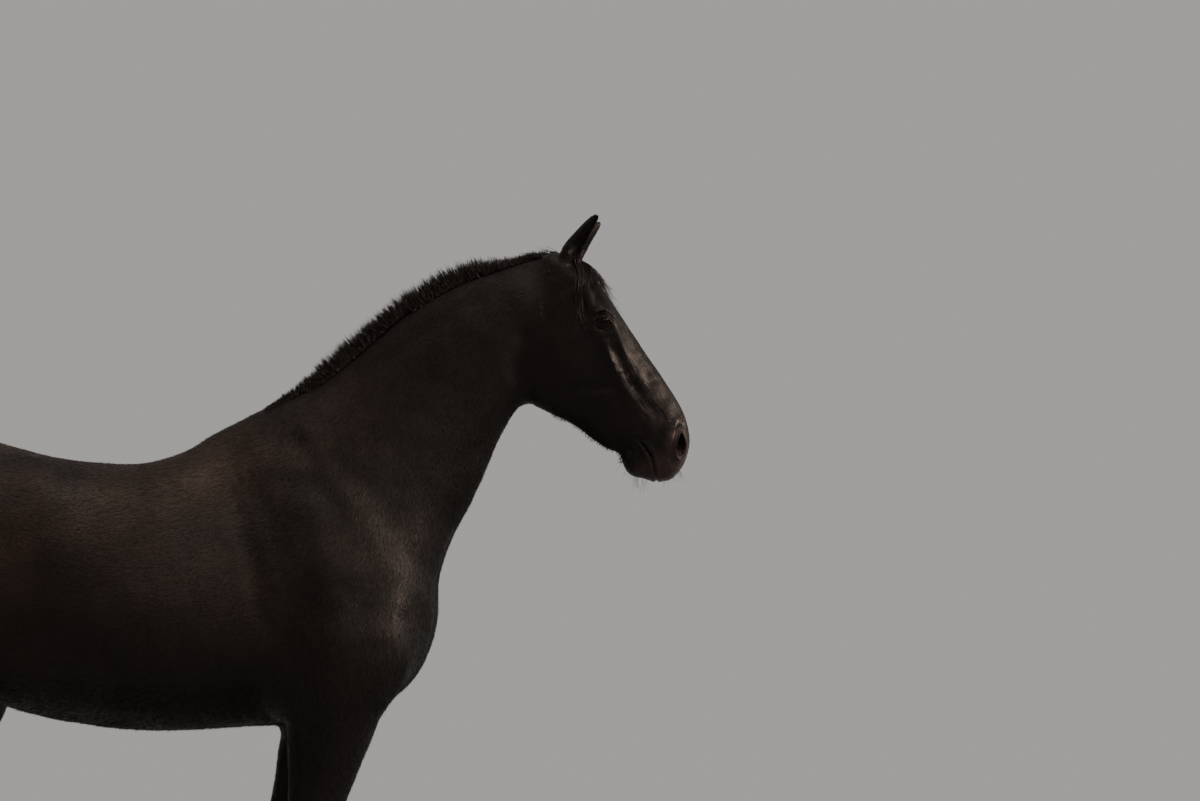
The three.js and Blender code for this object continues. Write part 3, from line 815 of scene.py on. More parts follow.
def shade_smooth(mesh: Mesh) -> None:
    """Shades all faces smoothly."""
    mesh.polygons.foreach_set("use_smooth", np.ones(len(mesh.polygons), bool))


# ------------------------------------------------------------------ face


@dataclass(frozen=True)
class FaceSpot:
    """A place on the side of the head, with the way that it faces and the way that it runs."""

    u: float
    y: float
    v: float
    facing: tuple[float, float]
    along: tuple[float, float]

    def axes(self, side: Side) -> tuple[Array, Array]:
        """Its middle and its three directions in the head's frame.

        Args:
            side: Which side of the head.

        Returns:
            The middle, and a matrix whose rows run along, across towards the forehead, and outwards.
        """
        out = unit(np.array([self.facing[0], side.value, self.facing[1]]))
        run = np.array([self.along[0], 0.0, self.along[1]])
        run = unit(run - run.dot(out) * out)
        up = np.cross(out, run)
        up = up if up[2] - up[0] > 0 else -up
        return np.array([self.u, side.value * self.y, self.v]), np.stack([run, up, out])

    def local(self, points: Array, side: Side) -> Array:
        """Points of the head's frame in the spot's own."""
        middle, axes = self.axes(side)
        return (points - middle) @ axes.T

    def placed(self, points: Array, side: Side) -> Array:
        """Points of the spot's own frame in the drawing's frame."""
        middle, axes = self.axes(side)
        return onto_head(points @ axes + middle)


EYE_SPOT = FaceSpot(229, 78, 23.5, facing=(0.28, 0.03), along=(0.65, 0.76))
NOSTRIL_SPOT = FaceSpot(590, 43, 60.5, facing=(0.35, 0.34), along=(60, -31))


@dataclass(frozen=True)
class Lids:
    """The lids round an eye: almond opening, thickness, and the folds above and below it.

    Each fold is given by its distance from the opening, its width and how far it stands out.
    """

    ball: float = 20.0
    thick: float = 3.0
    long: float = 42.0
    high: float = 26.0
    hug: tuple[float, float] = (15.0, 33.0)
    upper: tuple[Numbers, ...] = ((2.4, 2.0, 1.9), (6.0, 1.5, -1.6), (8.6, 1.5, 1.1), (12.0, 3.0, -1.5))
    brow: tuple[Numbers, ...] = ((19.5, 4.6, 4.8), (30.0, 5.0, -2.6))
    lower: tuple[Numbers, ...] = ((2.0, 1.8, 1.3), (6.0, 1.8, -1.4), (10.0, 2.4, 1.0), (15.0, 3.0, -1.2))

    def edge(self, run: Array) -> Array:
        """Half height of the opening along its length."""
        return self.high / 2 * np.clip(1 - (2 * run / self.long) ** 2, 0, 1)

    def shaped(self, local: Array) -> Array:
        """Lays the skin round the eye over the ball and raises its folds.

        Args:
            local: Points in the eye's frame.

        Returns:
            How far each moves outwards.
        """
        run, up, out = local.T
        away = np.hypot(run, up)
        cover = self.ball + self.thick
        ball = np.sqrt(np.clip(cover**2 - np.minimum(away, 0.86 * cover) ** 2, 0, None))
        hug = (1 - smoothstep(*self.hug, away)) * (out > -8)
        move = hug * (ball - out)
        over = up - self.edge(run)
        under = -up - self.edge(run)
        side = np.exp(-((run / 24) ** 4)) * (out > -8)
        brow = np.exp(-(((run + 3) / 30) ** 4)) * (out > -14)
        groups = ((side, over, self.upper), (brow, over, self.brow), (side, under, self.lower))
        for share, gap, folds in groups:
            for middle, width, rise in folds:
                move += share * rise * np.exp(-(((gap - middle) / width) ** 2))
        return move

    def slit(self, side: Side) -> Object:
        """The almond shape that is cut out between the lids.

        Args:
            side: Which eye.

        Returns:
            The shape.
        """
        run = np.concatenate([np.linspace(-0.5, 0.5, 25), np.linspace(0.5, -0.5, 25)[1:-1]]) * self.long
        up = self.edge(run) * np.concatenate([np.full(25, -1.0), np.full(23, 1.0)])
        rings = [np.stack([run, up, np.full_like(run, out)], axis=-1) for out in (3.0, 2 * self.ball)]
        return closed_rings("lid_slit", [EYE_SPOT.placed(ring, side) for ring in rings])


@dataclass(frozen=True)
class Nostril:
    """A comma shaped nostril: its opening, the rim round it, and the pit behind it."""

    long: float = 63.0
    high: float = 37.0
    depth: float = 42.0

    def reach(self, run: Array, up: Array) -> Array:
        """Distance from the middle, as a share of the opening's own at that turn."""
        turn = np.arctan2(up / self.high, run / self.long)
        return np.hypot(run / (self.long / 2), up / (self.high / 2 * (0.8 + 0.3 * np.cos(turn))))

    def shaped(self, local: Array) -> Array:
        """Raises the rim and sinks what lies within it.

        Args:
            local: Points in the nostril's frame.

        Returns:
            How far each moves outwards.
        """
        run, up, out = local.T
        reach = self.reach(run, up)
        outer = (out > -22) * (np.abs(run) < 1.6 * self.long)
        rear = 0.6 + 0.4 * np.tanh(-up / 6)
        rim = 4.6 * rear * np.exp(-(((reach - 1.17) / 0.14) ** 2))
        hollow = 2.0 * np.exp(-(((reach - 1.75) / 0.3) ** 2)) + 5.0 * np.exp(-((reach / 0.8) ** 4))
        return outer * (rim - hollow)

    def pit(self, side: Side) -> Object:
        """The hollow that is cut out of the nose.

        Args:
            side: Which nostril.

        Returns:
            The shape.
        """
        turn = np.linspace(0, 2 * np.pi, 40, endpoint=False)
        shape = 0.8 + 0.3 * np.cos(turn)
        bottom, top = (-self.depth, 0.16, -16), (26, 1.5, 0)
        rings = []
        for out, scale, shift in (bottom, (-26, 0.46, -10), (-13, 0.74, -4), (-4, 0.9, -1), (4, 1, 0), top):
            run = self.long / 2 * scale * np.cos(turn) + shift
            up = self.high / 2 * scale * shape * np.sin(turn)
            rings.append(NOSTRIL_SPOT.placed(np.stack([run, up, np.full_like(run, out)], axis=-1), side))
        return closed_rings("nostril_pit", rings)


@dataclass(frozen=True)
class Mouth:
    """The closed mouth: the line between the lips, and how the lips round in to it."""

    line: tuple[Numbers, ...] = ((530, -31), (556, -25), (583, -21.5), (612, -26), (634, -34), (668, -46))
    touch: float = 33.0
    opening: float = 1.5
    lip: float = 1.8
    crease: float = 3.2

    def shaped(self, head: Array) -> Array:
        """Rounds the lips in to the line between them.

        Args:
            head: Points in the head's frame.

        Returns:
            How far each moves outwards.
        """
        u, v = head[:, 0], head[:, 2]
        groove = Stroke(self.line, 3.4, -self.crease, taper=0.1).rise_at(u, v)
        fold = Stroke(((520, -38), (531, -26), (541, -12)), 4.0, -2.2).rise_at(u, v)
        shift = np.array([0, 8.5])
        upper = Stroke(tuple(map(tuple, np.array(self.line) + shift)), 6.5, self.lip).rise_at(u, v)
        lower = Stroke(tuple(map(tuple, np.array(self.line) - shift)), 6.0, self.lip).rise_at(u, v)
        chin = Mound(612, -60, 17, 14, -4.5).rise_at(u, v)
        return groove + fold + upper + lower + chin

    def slot(self, side: Side) -> Object:
        """The thin slot that parts the lips on one side, down to where they touch.

        Args:
            side: Which side of the head.

        Returns:
            The shape.
        """
        line = smooth_path(self.line[:-1], 28)
        half = self.opening / 2 * np.sin(np.pi * np.linspace(0, 1, 28))[:, None] ** 0.4 * np.array([0, 1])
        outline = np.concatenate([line - half, (line + half)[1:-1][::-1]])
        rings = [np.insert(outline, 1, side.value * y, axis=1) for y in (self.touch, 90.0)]
        return closed_rings("mouth_slot", [onto_head(ring) for ring in rings])


def closed_rings(name: str, rings: list[Array]) -> Object:
    """A closed shape through rings of points, with flat ends and its faces pointing out.

    Args:
        name: Its name.
        rings: Rings with the same number of points.

    Returns:
        The object.
    """
    grid = np.array(rings)
    index, walls = ring_walls(*grid.shape[:2])
    ends = [index[0, ::-1].tolist(), index[-1].tolist()]
    made = mesh_object(name, grid.reshape(-1, 3), walls.tolist() + ends)
    with editing(made.data) as shape:
        bmesh.ops.triangulate(shape, faces=[face for face in shape.faces if len(face.verts) > 4])
        bmesh.ops.recalc_face_normals(shape, faces=shape.faces)
    return made


# ------------------------------------------------------------------ ears


@dataclass(frozen=True)
class Ear:
    """A pricked ear: a curved cone with a cup that opens forwards and outwards."""

    u: float = 52.0
    v: float = -4.0
    y: float = 45.0
    length: float = 150.0
    wall: float = 3.0
    tilt: float = 60.0
    lean: float = 3.0
    turn: float = 60.0
    rings: int = 34
    sides: int = 34
    form: tuple[Numbers, ...] = (
        (0, 25, 24),
        (0.18, 26, 25),
        (0.38, 22, 22.5),
        (0.6, 18, 18),
        (0.8, 13.5, 14),
        (0.93, 9, 10),
        (1, 3.5, 5),
    )

    def placed(self, points: Array, side: Side) -> Array:
        """Brings points of the ear's own frame into the drawing's frame.

        Args:
            points: How far forwards, outwards and up along the ear each lies.
            side: Which ear.

        Returns:
            The points of the drawing.
        """
        about_z = rotation(side.value * self.turn, 0, 1)
        about_x = rotation(-side.value * self.lean, 1, 2)
        about_y = rotation(90 - self.tilt, 2, 0)
        root = onto_head(np.array([self.u, side.value * self.y, self.v]))
        return points @ (about_y @ about_x @ about_z).T + root

    def grid(self, side: Side, hollow: bool) -> Array:
        """Rings of the ear's skin, or of the hollow in its cup.

        Args:
            side: Which ear.
            hollow: Whether it is the hollow.

        Returns:
            The rings in the drawing's frame.
        """
        share = np.linspace(0, 1, self.rings)
        table = np.array(self.form, float)
        rows = catmull_rom(table, 1.1 + 4.75 * share if hollow else 6 * share)
        t, deep, wide = rows.T[:, :, None]
        swell = np.minimum(1, np.sqrt((8 * share + 0.3) / 2))[:, None] if hollow else 1.0
        wall = -self.wall if hollow else 0.0
        middle = 17 * t**2 - 6 * t + (0.62 * deep if hollow else 0)
        turn = np.linspace(0, 2 * np.pi, self.sides, endpoint=False)[None]
        back = np.maximum(deep + wall, 1) * swell * np.sin(turn)
        out = np.maximum(wide + wall, 1) * swell * np.cos(turn) - 8 * t**2 * side.value
        up = np.broadcast_to(t * self.length, back.shape)
        return self.placed(np.stack([middle - back, out, up], axis=-1), side)

    def shape(self, side: Side, hollow: bool = False) -> Object:
        """The closed ear, or the hollow that is cut out of it."""
        return closed_rings("ear", list(self.grid(side, hollow)))


# ------------------------------------------------------------------ skin


class Part(Enum):
    """What the skin is made of."""

    TRUNK = 0
    HEAD = 1
    FORE_RIGHT = 2
    FORE_LEFT = 3
    HIND_RIGHT = 4
    HIND_LEFT = 5
    DOCK = 6
    EAR_RIGHT = 7
    EAR_LEFT = 8


LEGS = (Part.FORE_RIGHT, Part.FORE_LEFT, Part.HIND_RIGHT, Part.HIND_LEFT)

# Where each part lies on the flat layout of the skin: left, bottom, width, height.
LAYOUT = {
    Part.TRUNK: (0.01, 0.01, 0.98, 0.46),
    Part.HEAD: (0.01, 0.49, 0.44, 0.32),
    Part.DOCK: (0.74, 0.49, 0.12, 0.1),
    Part.EAR_RIGHT: (0.01, 0.83, 0.2, 0.15),
    Part.EAR_LEFT: (0.23, 0.83, 0.2, 0.15),
}
LAYOUT |= {leg: (0.47, 0.49 + 0.13 * i, 0.25, 0.115) for i, leg in enumerate(LEGS)}

# Which way the hair lies on a part: along its rings (1) or against them (-1), and how much it droops.
LIE = {Part.TRUNK: (-1.0, 0.35), Part.HEAD: (1.0, 0.1), Part.EAR_RIGHT: (1.0, 0.0), Part.EAR_LEFT: (1.0, 0.0)}
LIE_OF_THE_REST = (1.0, 0.2)


@dataclass
class Patch:
    """What one part tells the skin at each point: the place along and round the part, and the hair's lie."""

    points: Array
    along: Array
    around: Array
    spread: Array
    lie: Array
    tree: kdtree.KDTree = field(init=False)

    def __post_init__(self) -> None:
        """Builds the search tree."""
        self.tree = search_tree(self.points)

    @classmethod
    def of(cls, grid: Array, part: Part) -> Patch:
        """Reads a grid of rings.

        Args:
            grid: The rings.
            part: Which part they are.

        Returns:
            The patch.
        """
        rings, sides = grid.shape[:2]
        way, droop = LIE.get(part, LIE_OF_THE_REST)
        lie = way * unit(np.gradient(grid, axis=0)) + droop * np.array([0, 0, -1.0])
        length = np.linalg.norm(np.diff(grid, axis=0), axis=-1).mean(axis=1)
        run = np.concatenate([[0], length.cumsum()])
        girth = np.linalg.norm(np.diff(grid, axis=1), axis=-1).sum(axis=1).max()
        along = np.repeat(run / run[-1], sides)
        around = np.tile(np.arange(sides) / sides, rings)
        spread = np.stack([along * run[-1], around * girth], axis=-1)
        return cls(grid.reshape(-1, 3), along, around, spread, unit(lie).reshape(-1, 3))


BODY_STROKES = (
    # Jugular groove, and the long muscle of the neck above it.
    Stroke(((700, 1700), (640, 1590), (580, 1480), (535, 1380), (505, 1280), (490, 1190)), 22, -3),
    Stroke(((690, 1800), (600, 1650), (500, 1500), (430, 1390)), 36, 4),
    # Step under the crest, and the crest above it.
    Stroke(
        ((733, 1990), (651, 1950), (566, 1900), (481, 1845), (388, 1779), (309, 1713), (220, 1650)),
        26,
        -4.5,
    ),
    Stroke(((745, 2012), (651, 1988), (579, 1952), (480, 1893), (380, 1822), (300, 1756)), 17, 3),
    # Hollow between the jaw and the first bone of the neck, which stands out behind it.
    Stroke(((742, 1860), (728, 1800), (720, 1745), (728, 1700)), 20, -7),
    Mound(722, 1935, 34, 48, 5, 20),
    # Front edge of the shoulder: a narrow ridge from the withers to the breast, with a hollow ahead of it.
    Stroke(
        ((205, 1570), (232, 1520), (279, 1456), (350, 1386), (404, 1284), (443, 1206), (470, 1145)),
        25,
        2.2,
        0.4,
    ),
    Stroke(((235, 1590), (262, 1540), (315, 1470), (385, 1400), (437, 1298), (470, 1215)), 32, -2.6, 0.35),
    Stroke(((170, 1540), (205, 1470), (265, 1390), (325, 1310), (370, 1220)), 38, -1.6, 0.35),
    Mound(168, 1562, 48, 28, -3.5, -50),
    # Blade bone, and the back edge of the shoulder.
    Mound(50, 1342, 70, 48, 4, -35),
    Mound(222, 1385, 46, 60, 3, -30),
    Mound(20, 1432, 26, 22, -3.5),
    Stroke(((5, 1440), (50, 1340), (85, 1240), (110, 1140), (140, 1050)), 26, -4.5),
    # Upper arm, the hollow behind it and the elbow.
    Stroke(((232, 1320), (262, 1240), (282, 1160), (280, 1075)), 44, 4.5, 0.35),
    Mound(168, 1098, 32, 66, -7, -14),
    Mound(160, 985, 34, 40, 7),
    Stroke(((352, 1230), (356, 1150), (346, 1060), (330, 980)), 32, -1.8, 0.35),
    # Point of the shoulder, the breast muscle and its fold.
    Mound(410, 1160, 64, 62, 3),
    Stroke(((452, 1150), (458, 1070), (436, 990), (400, 930)), 22, -3),
    Stroke(((372, 900), (425, 936), (466, 986)), 6, -2.6, 0.3),
    # Ribs and flank.
    Mound(-120, 1210, 220, 170, 6),
    Mound(-520, 1290, 60, 90, -10),
    Stroke(((-600, 1160), (-540, 1080), (-490, 990), (-450, 930)), 24, 6),
    Stroke(((-480, 1400), (-440, 1260), (-430, 1120), (-460, 1000)), 40, -3),
    # Back muscle beside the spine.
    Stroke(((-560, 1478), (-400, 1462), (-240, 1450), (-100, 1470)), 34, 4),
    # Point of the hip, and the muscles of the haunch.
    Mound(-610, 1470, 46, 34, 8, -20),
    Stroke(((-650, 1440), (-700, 1350), (-740, 1250), (-720, 1120), (-660, 1020)), 28, -5),
    Stroke(((-900, 1500), (-960, 1400), (-990, 1280), (-980, 1160), (-940, 1060)), 20, -6),
    Stroke(((-780, 1430), (-850, 1320), (-880, 1180), (-850, 1060)), 42, 4),
    Mound(-600, 1000, 40, 46, 6),
)

HEAD_STROKES = (
    # Facial crest, the bone of the nose, and the hollow between them.
    Stroke(((268, 7), (290, 3), (318, -1), (344, -3)), 5.5, 4.4),
    Stroke(((244, 47), (276, 42), (310, 37), (348, 34)), 7.5, 3.6, 0.3),
    Stroke(((350, -4), (378, -9), (402, -16)), 9, 1.8),
    Stroke(((250, 66), (300, 62), (360, 62), (430, 70)), 11, -3.4),
    Stroke(((285, 20), (340, 16), (400, 20), (450, 28)), 12, -4.0),
    Stroke(((440, 26), (480, 40), (520, 54), (552, 66)), 10, -1.8),
    Stroke(((410, -4), (450, 6), (500, 16), (550, 20)), 18, 1.6),
    # Back and lower edge of the cheek muscle, and the groove in front of it.
    Stroke(((392, -14), (372, -60), (352, -110), (348, -160)), 12, -4.0),
    Stroke(((110, 8), (112, -40), (128, -90), (160, -135)), 14, -3.6),
    # Arch of the cheek bone, behind and above the eye.
    Stroke(((96, 22), (130, 24), (165, 18), (200, 0)), 10, 4.0),
    Stroke(((250, -2), (235, -14), (215, -18), (195, -12)), 7, 2.4),
    Mound(158, 46, 26, 14, -4.5, -8),
    # Veins of the face.
    Stroke(((388, -8), (374, -34), (366, -70), (362, -112), (366, -150)), 3.2, 1.8),
    Stroke(((384, -10), (420, 2), (462, 10), (500, 24)), 3.0, 1.5),
    Stroke(((300, 12), (330, 14), (362, 8), (386, -6)), 2.8, 1.3),
    # Chin and the corner of the mouth.
    Stroke(((512, -92), (534, -74), (548, -52)), 9, -2.8),
    Mound(572, -70, 26, 16, 3.2),
    Mound(500, -20, 26, 20, 2.6),
)

LEG_STROKES = {
    "FORE": (
        # Muscles of the forearm and the grooves between them.
        Mound(290, 850, 60, 90, 4),
        Stroke(((246, 920), (232, 820), (220, 720), (214, 640)), 11, -4.0),
        Stroke(((200, 900), (188, 800), (182, 700), (184, 620)), 9, -3.0),
        # Knee, with the small bone behind it.
        Mound(215, 505, 44, 30, 3),
        Stroke(((256, 487), (222, 484), (180, 487)), 5, -1.6),
        Mound(150, 520, 15, 24, 5),
        # Back tendons of the cannon.
        Stroke(((190, 440), (187, 380), (186, 320), (180, 272)), 6, -4.2),
        Stroke(((172, 430), (171, 370), (171, 310)), 3.5, -1.6),
        # Fetlock and pastern.
        Mound(205, 244, 28, 20, 3),
        Mound(164, 238, 13, 16, 3.5),
        Stroke(((178, 214), (202, 168), (224, 120)), 7, -2.4),
    ),
    "HIND": (
        # Second thigh: its muscles, and the hollow ahead of the great tendon.
        Mound(-800, 850, 90, 80, 5, 35),
        Stroke(((-720, 880), (-800, 800), (-890, 740), (-930, 690)), 14, -4.0),
        Stroke(((-955, 830), (-985, 765), (-1010, 705), (-1032, 650)), 13, -9.0),
        # Hock.
        Mound(-990, 570, 44, 34, 3),
        Mound(-1066, 630, 16, 24, 4),
        Stroke(((-960, 640), (-975, 590), (-985, 540)), 8, -2.6),
        # Back tendons of the cannon.
        Stroke(((-1026, 510), (-1028, 440), (-1028, 360), (-1034, 285)), 6, -4.2),
        Stroke(((-1044, 500), (-1043, 430), (-1043, 350)), 3.5, -1.6),
        # Fetlock and pastern.
        Mound(-1010, 240, 28, 20, 3),
        Mound(-1052, 232, 13, 16, 3.5),
        Stroke(((-1040, 208), (-1014, 164), (-990, 118)), 7, -2.4),
    ),
}


@dataclass
class Skin:
    """One skin over head, neck, trunk, legs and ears, lying inside the coat."""

    shift: float
    coat: float = 2.2
    limb_fillet: float = 70.0
    throat_fillet: float = 36.0
    flank_fade: float = 100.0
    face_fade: float = 20.0
    lids: Lids = Lids()
    nostril: Nostril = Nostril()
    mouth: Mouth = Mouth()
    ear: Ear = Ear()
    patches: dict[Part, Patch] = field(default_factory=dict)
    body: Object | None = None

    def lofts(self) -> dict[Part, Loft]:
        """The forms of the flesh, swollen where they run into each other.

        Returns:
            One for each part but the ears.
        """
        trunk = Loft(TRUNK, rings=196, sides=108)
        trunk.with_forms(TRUNK_FORMS, self.flank_fade)
        skull = Loft(HEAD, rings=190, sides=112, finer=(15.5, 18.5, 0.6))
        skull.with_forms(HEAD_FORMS, self.face_fade)
        skull.points = onto_head(skull.points)
        found = {Part.TRUNK: trunk, Part.HEAD: skull}
        limbs = (("FORE", FORE_LIMB, FORE_STANCE), ("HIND", HIND_LIMB, HIND_STANCE))
        for name, stations, stance in limbs:
            for side in Side:
                limb = Loft(stations, rings=130, sides=44, finer=(9.0, 22.0, 0.7))
                limb.points[..., 1] -= self.limb_middle(limb.points) * (1 - side.value)
                limb.points += limb.normals() * self.leg_relief(name, limb.points)[..., None]
                limb.points = stance.lean(limb.points, side)
                found[Part[f"{name}_{side.name}"]] = limb
        found[Part.DOCK] = Loft(DOCK, rings=40, sides=24)
        self.round_creases(found)
        return found

    @staticmethod
    def limb_middle(points: Array) -> Array:
        """How far each ring of a limb lies out from the middle of the body."""
        return points[..., 1].mean(axis=1)[:, None]

    def leg_relief(self, name: str, points: Array) -> Array:
        """Tendons, joints and muscles of a leg, on both its faces.

        Args:
            name: FORE or HIND.
            points: The limb as drawn.

        Returns:
            How far each point moves outwards.
        """
        x, z = points[..., 0], points[..., 2]
        flank = smoothstep(6, 22, np.abs(points[..., 1] - self.limb_middle(points)))
        return flank * sum(one.rise_at(x, z) for one in LEG_STROKES[name])

    def round_creases(self, found: dict[Part, Loft]) -> None:
        """Lets the lofts swell towards each other.

        Args:
            found: The lofts.
        """
        limbs = [found[leg] for leg in LEGS]
        trunk, skull = found[Part.TRUNK], found[Part.HEAD]
        limb_trees, trunk_tree, skull_tree = [limb.tree() for limb in limbs], trunk.tree(), skull.tree()
        trunk.filleted(limb_trees, self.limb_fillet)
        trunk.filleted([skull_tree], self.throat_fillet)
        skull.filleted([trunk_tree], self.throat_fillet)
        for limb in limbs:
            limb.filleted([trunk_tree], self.limb_fillet)

    def build(self) -> Object:
        """Makes the whole skin.

        Returns:
            The skin, in metres.
        """
        found = self.lofts()
        self.patches = {part: Patch.of(loft.points, part) for part, loft in found.items()}
        for part, side in ((Part.EAR_RIGHT, Side.RIGHT), (Part.EAR_LEFT, Side.LEFT)):
            self.patches[part] = Patch.of(self.ear.grid(side, hollow=False), part)
        shapes = [mesh_object(part.name, loft.vertices(), loft.faces()) for part, loft in found.items()]
        self.body = shapes[0]
        self.body.name = self.body.data.name = "skin"
        combine(self.body, shapes[1:], "UNION")
        self.soften_seams(found)
        self.sculpt_body()
        self.ripple()
        combine(self.body, [self.ear.shape(side) for side in Side], "UNION")
        self.soften_ears()
        self.refine_face()
        self.sculpt_face()
        self.sink()
        self.cut_openings()
        self.lay_out()
        shade_smooth(self.body.data)
        return self.body

    def soften_seams(self, found: dict[Part, Loft]) -> None:
        """Smooths the flesh where two lofts meet, widely at the shoulders and the haunches.

        Args:
            found: The lofts that the skin was joined from.
        """
        mesh = self.body.data
        own = search_tree(np.concatenate([loft.vertices() for loft in found.values()]))
        points = points_of(mesh)
        seams = search_tree([point for point in points if own.find(point)[2] > 0.05])
        gaps = np.array([seams.find(point)[2] for point in points])
        legs = 1 - smoothstep(560, 700, points[:, 0])
        band = 16 + 64 * legs
        smooth_points(mesh, smoothstep(0, 1, 1 - gaps / band), 60)

    def soften_ears(self) -> None:
        """Smooths the crease round the foot of each ear."""
        points = points_of(self.body.data)
        weights = np.zeros(len(points))
        for side in Side:
            foot = self.ear.placed(np.array([0, 0, 12.0]), side)
            weights += 1 - smoothstep(20, 48, np.linalg.norm(points - foot, axis=1))
        smooth_points(self.body.data, weights, 14)

    def sculpt_body(self) -> None:
        """Models the muscles and hollows of the trunk and the neck."""
        mesh = self.body.data
        points, normals = points_of(mesh), normals_of(mesh)
        x, y, z = points.T
        outer = smoothstep(0.15, 0.7, normals[:, 1] * np.sign(y)) * smoothstep(25, 70, np.abs(y))
        above = smoothstep(800, 900, z)
        rise = outer * above * sum(one.rise_at(x, z) for one in BODY_STROKES)
        breast = smoothstep(330, 420, x) * (1 - smoothstep(1260, 1380, z)) * above
        rise -= 9 * breast * np.exp(-((y / 20) ** 2))
        croup = (1 - smoothstep(-760, -640, x)) * smoothstep(1400, 1500, z)
        rise -= 4 * croup * np.exp(-((y / 18) ** 2))
        move_points(mesh, points + normals * rise[:, None])

    def ripple(self) -> None:
        """Lets muscle and fat show as slight swells, broad on the body and small on the head and the legs."""
        mesh = self.body.data
        points = points_of(mesh)
        head, leg = smoothstep(760, 860, points[:, 0]), 1 - smoothstep(640, 820, points[:, 2])
        fine = np.maximum(head, leg)
        swells = ((78.0, 1.9, 0.0), (34.0, 0.8, 0.45), (17.0, 0.25, 0.6))
        rise = np.zeros(len(points))
        for span, depth, kept in swells:
            wave = np.array([noise.noise(Vector(point) / span) for point in points])
            rise += wave * depth * (1 - fine * (1 - kept))
        move_points(mesh, points + normals_of(mesh) * rise[:, None])

    def refine_face(self) -> None:
        """Cuts the skin finer round the eyes, the nostrils and the mouth, and finest at their rims."""
        lips = search_tree(np.insert(smooth_path(self.mouth.line, 60), 1, 0, axis=1))
        with editing(self.body.data) as shape:
            for eye_reach, nose_reach, lip_reach in ((42.0, 70.0, 42.0), (30.0, 42.0, 8.0)):
                shape.verts.ensure_lookup_table()
                head = from_head(np.array([vert.co for vert in shape.verts]))
                inside = np.array([lips.find((u, 0, v))[2] for u, _, v in head]) < lip_reach
                for side in Side:
                    for spot, reach in ((EYE_SPOT, eye_reach), (NOSTRIL_SPOT, nose_reach)):
                        inside |= np.linalg.norm(spot.local(head, side), axis=1) < reach
                inside &= (np.abs(head[:, 1]) < 120) & (head[:, 0] > 150)
                edges = [edge for edge in shape.edges if all(inside[vert.index] for vert in edge.verts)]
                bmesh.ops.subdivide_edges(shape, edges=edges, cuts=1, use_grid_fill=True, smooth=0.6)
                shape.verts.index_update()

    def sculpt_face(self) -> None:
        """Models the bones, lids, nostrils and lips of the head."""
        mesh = self.body.data
        points, normals = points_of(mesh), normals_of(mesh)
        head = from_head(points)
        on_head = (head[:, 0] > 60) & (head[:, 2] > -215) & (points[:, 0] > 780)
        flank = smoothstep(10, 32, np.abs(head[:, 1]))
        rise = flank * sum(one.rise_at(head[:, 0], head[:, 2]) for one in HEAD_STROKES)
        rise += self.mouth.shaped(head)
        rise += flank * self.nose_knots(head)
        points = points + normals * (rise * on_head)[:, None]
        for side in Side:
            for spot, organ in ((EYE_SPOT, self.lids), (NOSTRIL_SPOT, self.nostril)):
                here = from_head(points)
                local = spot.local(here, side)
                own = on_head & (here[:, 1] * side.value > 0) & (np.linalg.norm(local, axis=1) < 80)
                out = turned_onto_head(spot.axes(side)[1][2])
                points = points + (own * organ.shaped(local))[:, None] * out
        move_points(mesh, points)
        self.soften_rings(points)

    def soften_rings(self, points: Array) -> None:
        """Smooths the ring round each eye and nostril where the skin is cut finer inside than outside.

        Args:
            points: The skin's points, in the drawing's frame.
        """
        head = from_head(points)
        weights = np.zeros(len(points))
        for side in Side:
            for spot, reaches in ((EYE_SPOT, (30, 42)), (NOSTRIL_SPOT, (42, 70))):
                away = np.linalg.norm(spot.local(head, side), axis=1)
                for reach in reaches:
                    weights += np.exp(-(((away - reach) / 4.5) ** 2)) * (head[:, 1] * side.value > 0)
        smooth_points(self.body.data, np.clip(weights, 0, 1) * (points[:, 0] > HEAD_FROM), 6)

    @staticmethod
    def nose_knots(head: Array) -> Array:
        """Small uneven swells of muscle and vein on the side of the nose.

        Args:
            head: Points in the head's frame.

        Returns:
            How far each moves outwards.
        """
        u, v = head[:, 0], head[:, 2]
        share = smoothstep(300, 370, u) * (1 - smoothstep(540, 585, u)) * smoothstep(-120, -40, v)
        rise = np.zeros(len(head))
        near = np.flatnonzero(share)
        for span, depth in ((34.0, 2.3), (15.0, 0.8)):
            rise[near] += depth * np.array([noise.noise(Vector(point) / span) for point in head[near]])
        return share * rise

    def sink(self) -> None:
        """Lays the skin in by the depth of the coat, least on the nose, the ears and the feet."""
        mesh = self.body.data
        points, normals = points_of(mesh), normals_of(mesh)
        head = from_head(points)
        thin = smoothstep(420, 560, head[:, 0]) + (head[:, 0] < 40) * (points[:, 2] > 2050)
        thin += 1 - smoothstep(60, 140, points[:, 2])
        depth = self.coat * (1 - 0.75 * np.clip(thin, 0, 1))
        move_points(mesh, points - normals * depth[:, None])

    def cut_openings(self) -> None:
        """Cuts the cups of the ears, the lids, the nostrils and the mouth."""
        tools = []
        for side in Side:
            tools += [self.mouth.slot(side), self.ear.shape(side, hollow=True)]
            tools += [self.lids.slit(side), self.nostril.pit(side), Eye.ball(side, self.lids.ball + 0.25)]
        combine(self.body, tools, "DIFFERENCE")

    def lay_out(self) -> None:
        """Writes the skin's flat layout and the hair's lie, and brings it into metres."""
        mesh = self.body.data
        points, corners = points_of(mesh), corners_of(mesh)
        sizes = read_rows(mesh.polygons, "loop_total", 1, int).ravel()
        firsts = np.concatenate([[0], sizes.cumsum()[:-1]])
        patches = list(self.patches.values())
        counts = [len(patch.points) for patch in patches]
        starts = np.concatenate([[0], np.cumsum(counts)])
        every = search_tree(np.concatenate([patch.points for patch in patches]))
        nearest = np.array([every.find(point)[1] for point in points])
        owner = np.repeat(np.arange(len(patches)), counts)[nearest]
